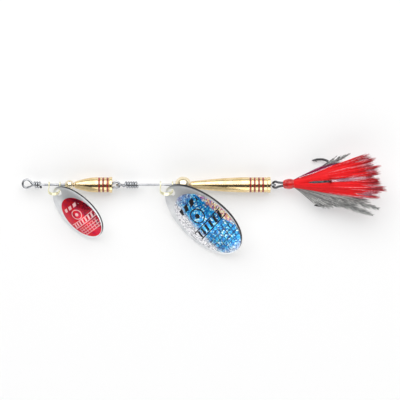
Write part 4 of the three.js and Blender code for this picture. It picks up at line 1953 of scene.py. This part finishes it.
FRONT_BLADE = BladeSizes(
    length=20.5, width=12.6, camber=1.6, thickness=0.45, taper=0.1, hole_inset=1.75, hole=0.95,
    foil_length=15.5, foil_width=10.2, foil_towards_tip=2.0,
)
FRONT_CLEVIS = ClevisSizes(at=10.35, bow=1.7, rise=3.75, thickness=0.35, width=0.9, ear=1.0)
FRONT_BODY = BodySizes(
    bead_at=15.0, bead=1.5, bead_half=1.35, start=16.6, shoulder=23.6, end=28.4, nose=1.0, belly=2.38,
    rim=2.5, counterbore=1.9, grooves=(24.4, 25.65, 27.0),
)
FRONT_MARKS = Marks(
    dash_at=5.9, ring_at=8.8, ring_radius=1.6, bars_at=11.7, grid_at=13.2, grid_end=16.2,
    half_width=4.9, line=0.27, centre=0.6,
)
REAR_BLADE = BladeSizes(
    length=29.3, width=17.7, camber=2.3, thickness=0.5, taper=0.1, hole_inset=1.95, hole=1.1,
    # The painted dark reflection along the rim starts further in on this blade.
    foil_length=24.6, foil_width=15.6, foil_towards_tip=2.1, foil_towards_body=0.3, painted_dark_rim=0.93,
)
REAR_CLEVIS = ClevisSizes(at=45.45, bow=1.9, rise=3.8, thickness=0.38, width=1.0, ear=1.1)
REAR_BODY = BodySizes(
    bead_at=50.65, bead=2.6, bead_half=2.35, start=53.15, shoulder=71.2, end=78.0, nose=1.1, belly=2.4,
    rim=2.5, counterbore=2.3, grooves=(71.75, 73.05, 74.4, 75.7),
)
REAR_MARKS = Marks(
    dash_at=6.6, ring_at=10.8, ring_radius=2.3, bars_at=15.4, grid_at=18.0, grid_end=24.0,
    half_width=6.8, line=0.44, centre=1.2,
)
TREBLE_AT = 78.69
TREBLE_TILT = 9.0
TREBLE_YAW = 3.0


def lure_axes() -> Axes:
    """The wires' axis with the line tie's tip as its zero, from the front body's box."""
    low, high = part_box("front_body")
    start = low.x - FRONT_BODY.start * MM
    return Axes(Vector((start, (low.y + high.y) / 2, (low.z + high.z) / 2)), Matrix.Identity(3))


def treble_axes(lure: Axes) -> Axes:
    """The treble's axes, tilted and turned a little from the wire."""
    tilt = Matrix.Rotation(math.radians(-TREBLE_TILT), 3, "Y")
    yaw = Matrix.Rotation(math.radians(TREBLE_YAW), 3, "Z")
    return lure.moved(TREBLE_AT, turn=tilt @ yaw)


def spinner_units(lure: Axes) -> tuple[SpinnerUnit, SpinnerUnit]:
    """The front unit with its red mirror foil and the rear unit with its blue prism foil."""
    press = press_tree()
    red = MirrorFoil(
        "Red mirror foil", FRONT_MARKS, bright=(0.70, 0.008, 0.016), deep=(0.46, 0.004, 0.05),
        # The edge colour is the near-black painted dark reflection on the foil's body side.
        edge=(0.035, 0.001, 0.010), ink=(0.95, 0.66, 0.66), width=FRONT_BLADE.width,
    )
    blue = PrismFoil("Blue prism foil", REAR_MARKS, REAR_BLADE.length, REAR_BLADE.width)
    front = SpinnerUnit(
        "front", lure, FRONT_BLADE, Pose(heading=48.3, pitch=-9.0, roll=37.0), FRONT_CLEVIS, FRONT_BODY,
        "red_foil", red.material, press,
    )
    rear = SpinnerUnit(
        "rear", lure, REAR_BLADE, Pose(heading=41.3, pitch=-2.2, roll=37.0), REAR_CLEVIS, REAR_BODY,
        "holographic_foil", blue.material, press,
    )
    return front, rear


def main() -> None:
    """Builds the lure and the studio."""
    logging.basicConfig(level=logging.INFO, format="%(name)s: %(message)s")
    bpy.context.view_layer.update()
    lure = lure_axes()
    finishes = Finishes()
    WireShafts(lure).build(finishes)
    for unit in spinner_units(lure):
        unit.build(finishes)
    treble = treble_axes(lure)
    TrebleHook(treble).build(finishes)
    FeatherDressing(treble).build(finishes)
    Studio(lure).build()


if __name__ == "__main__":
    main()
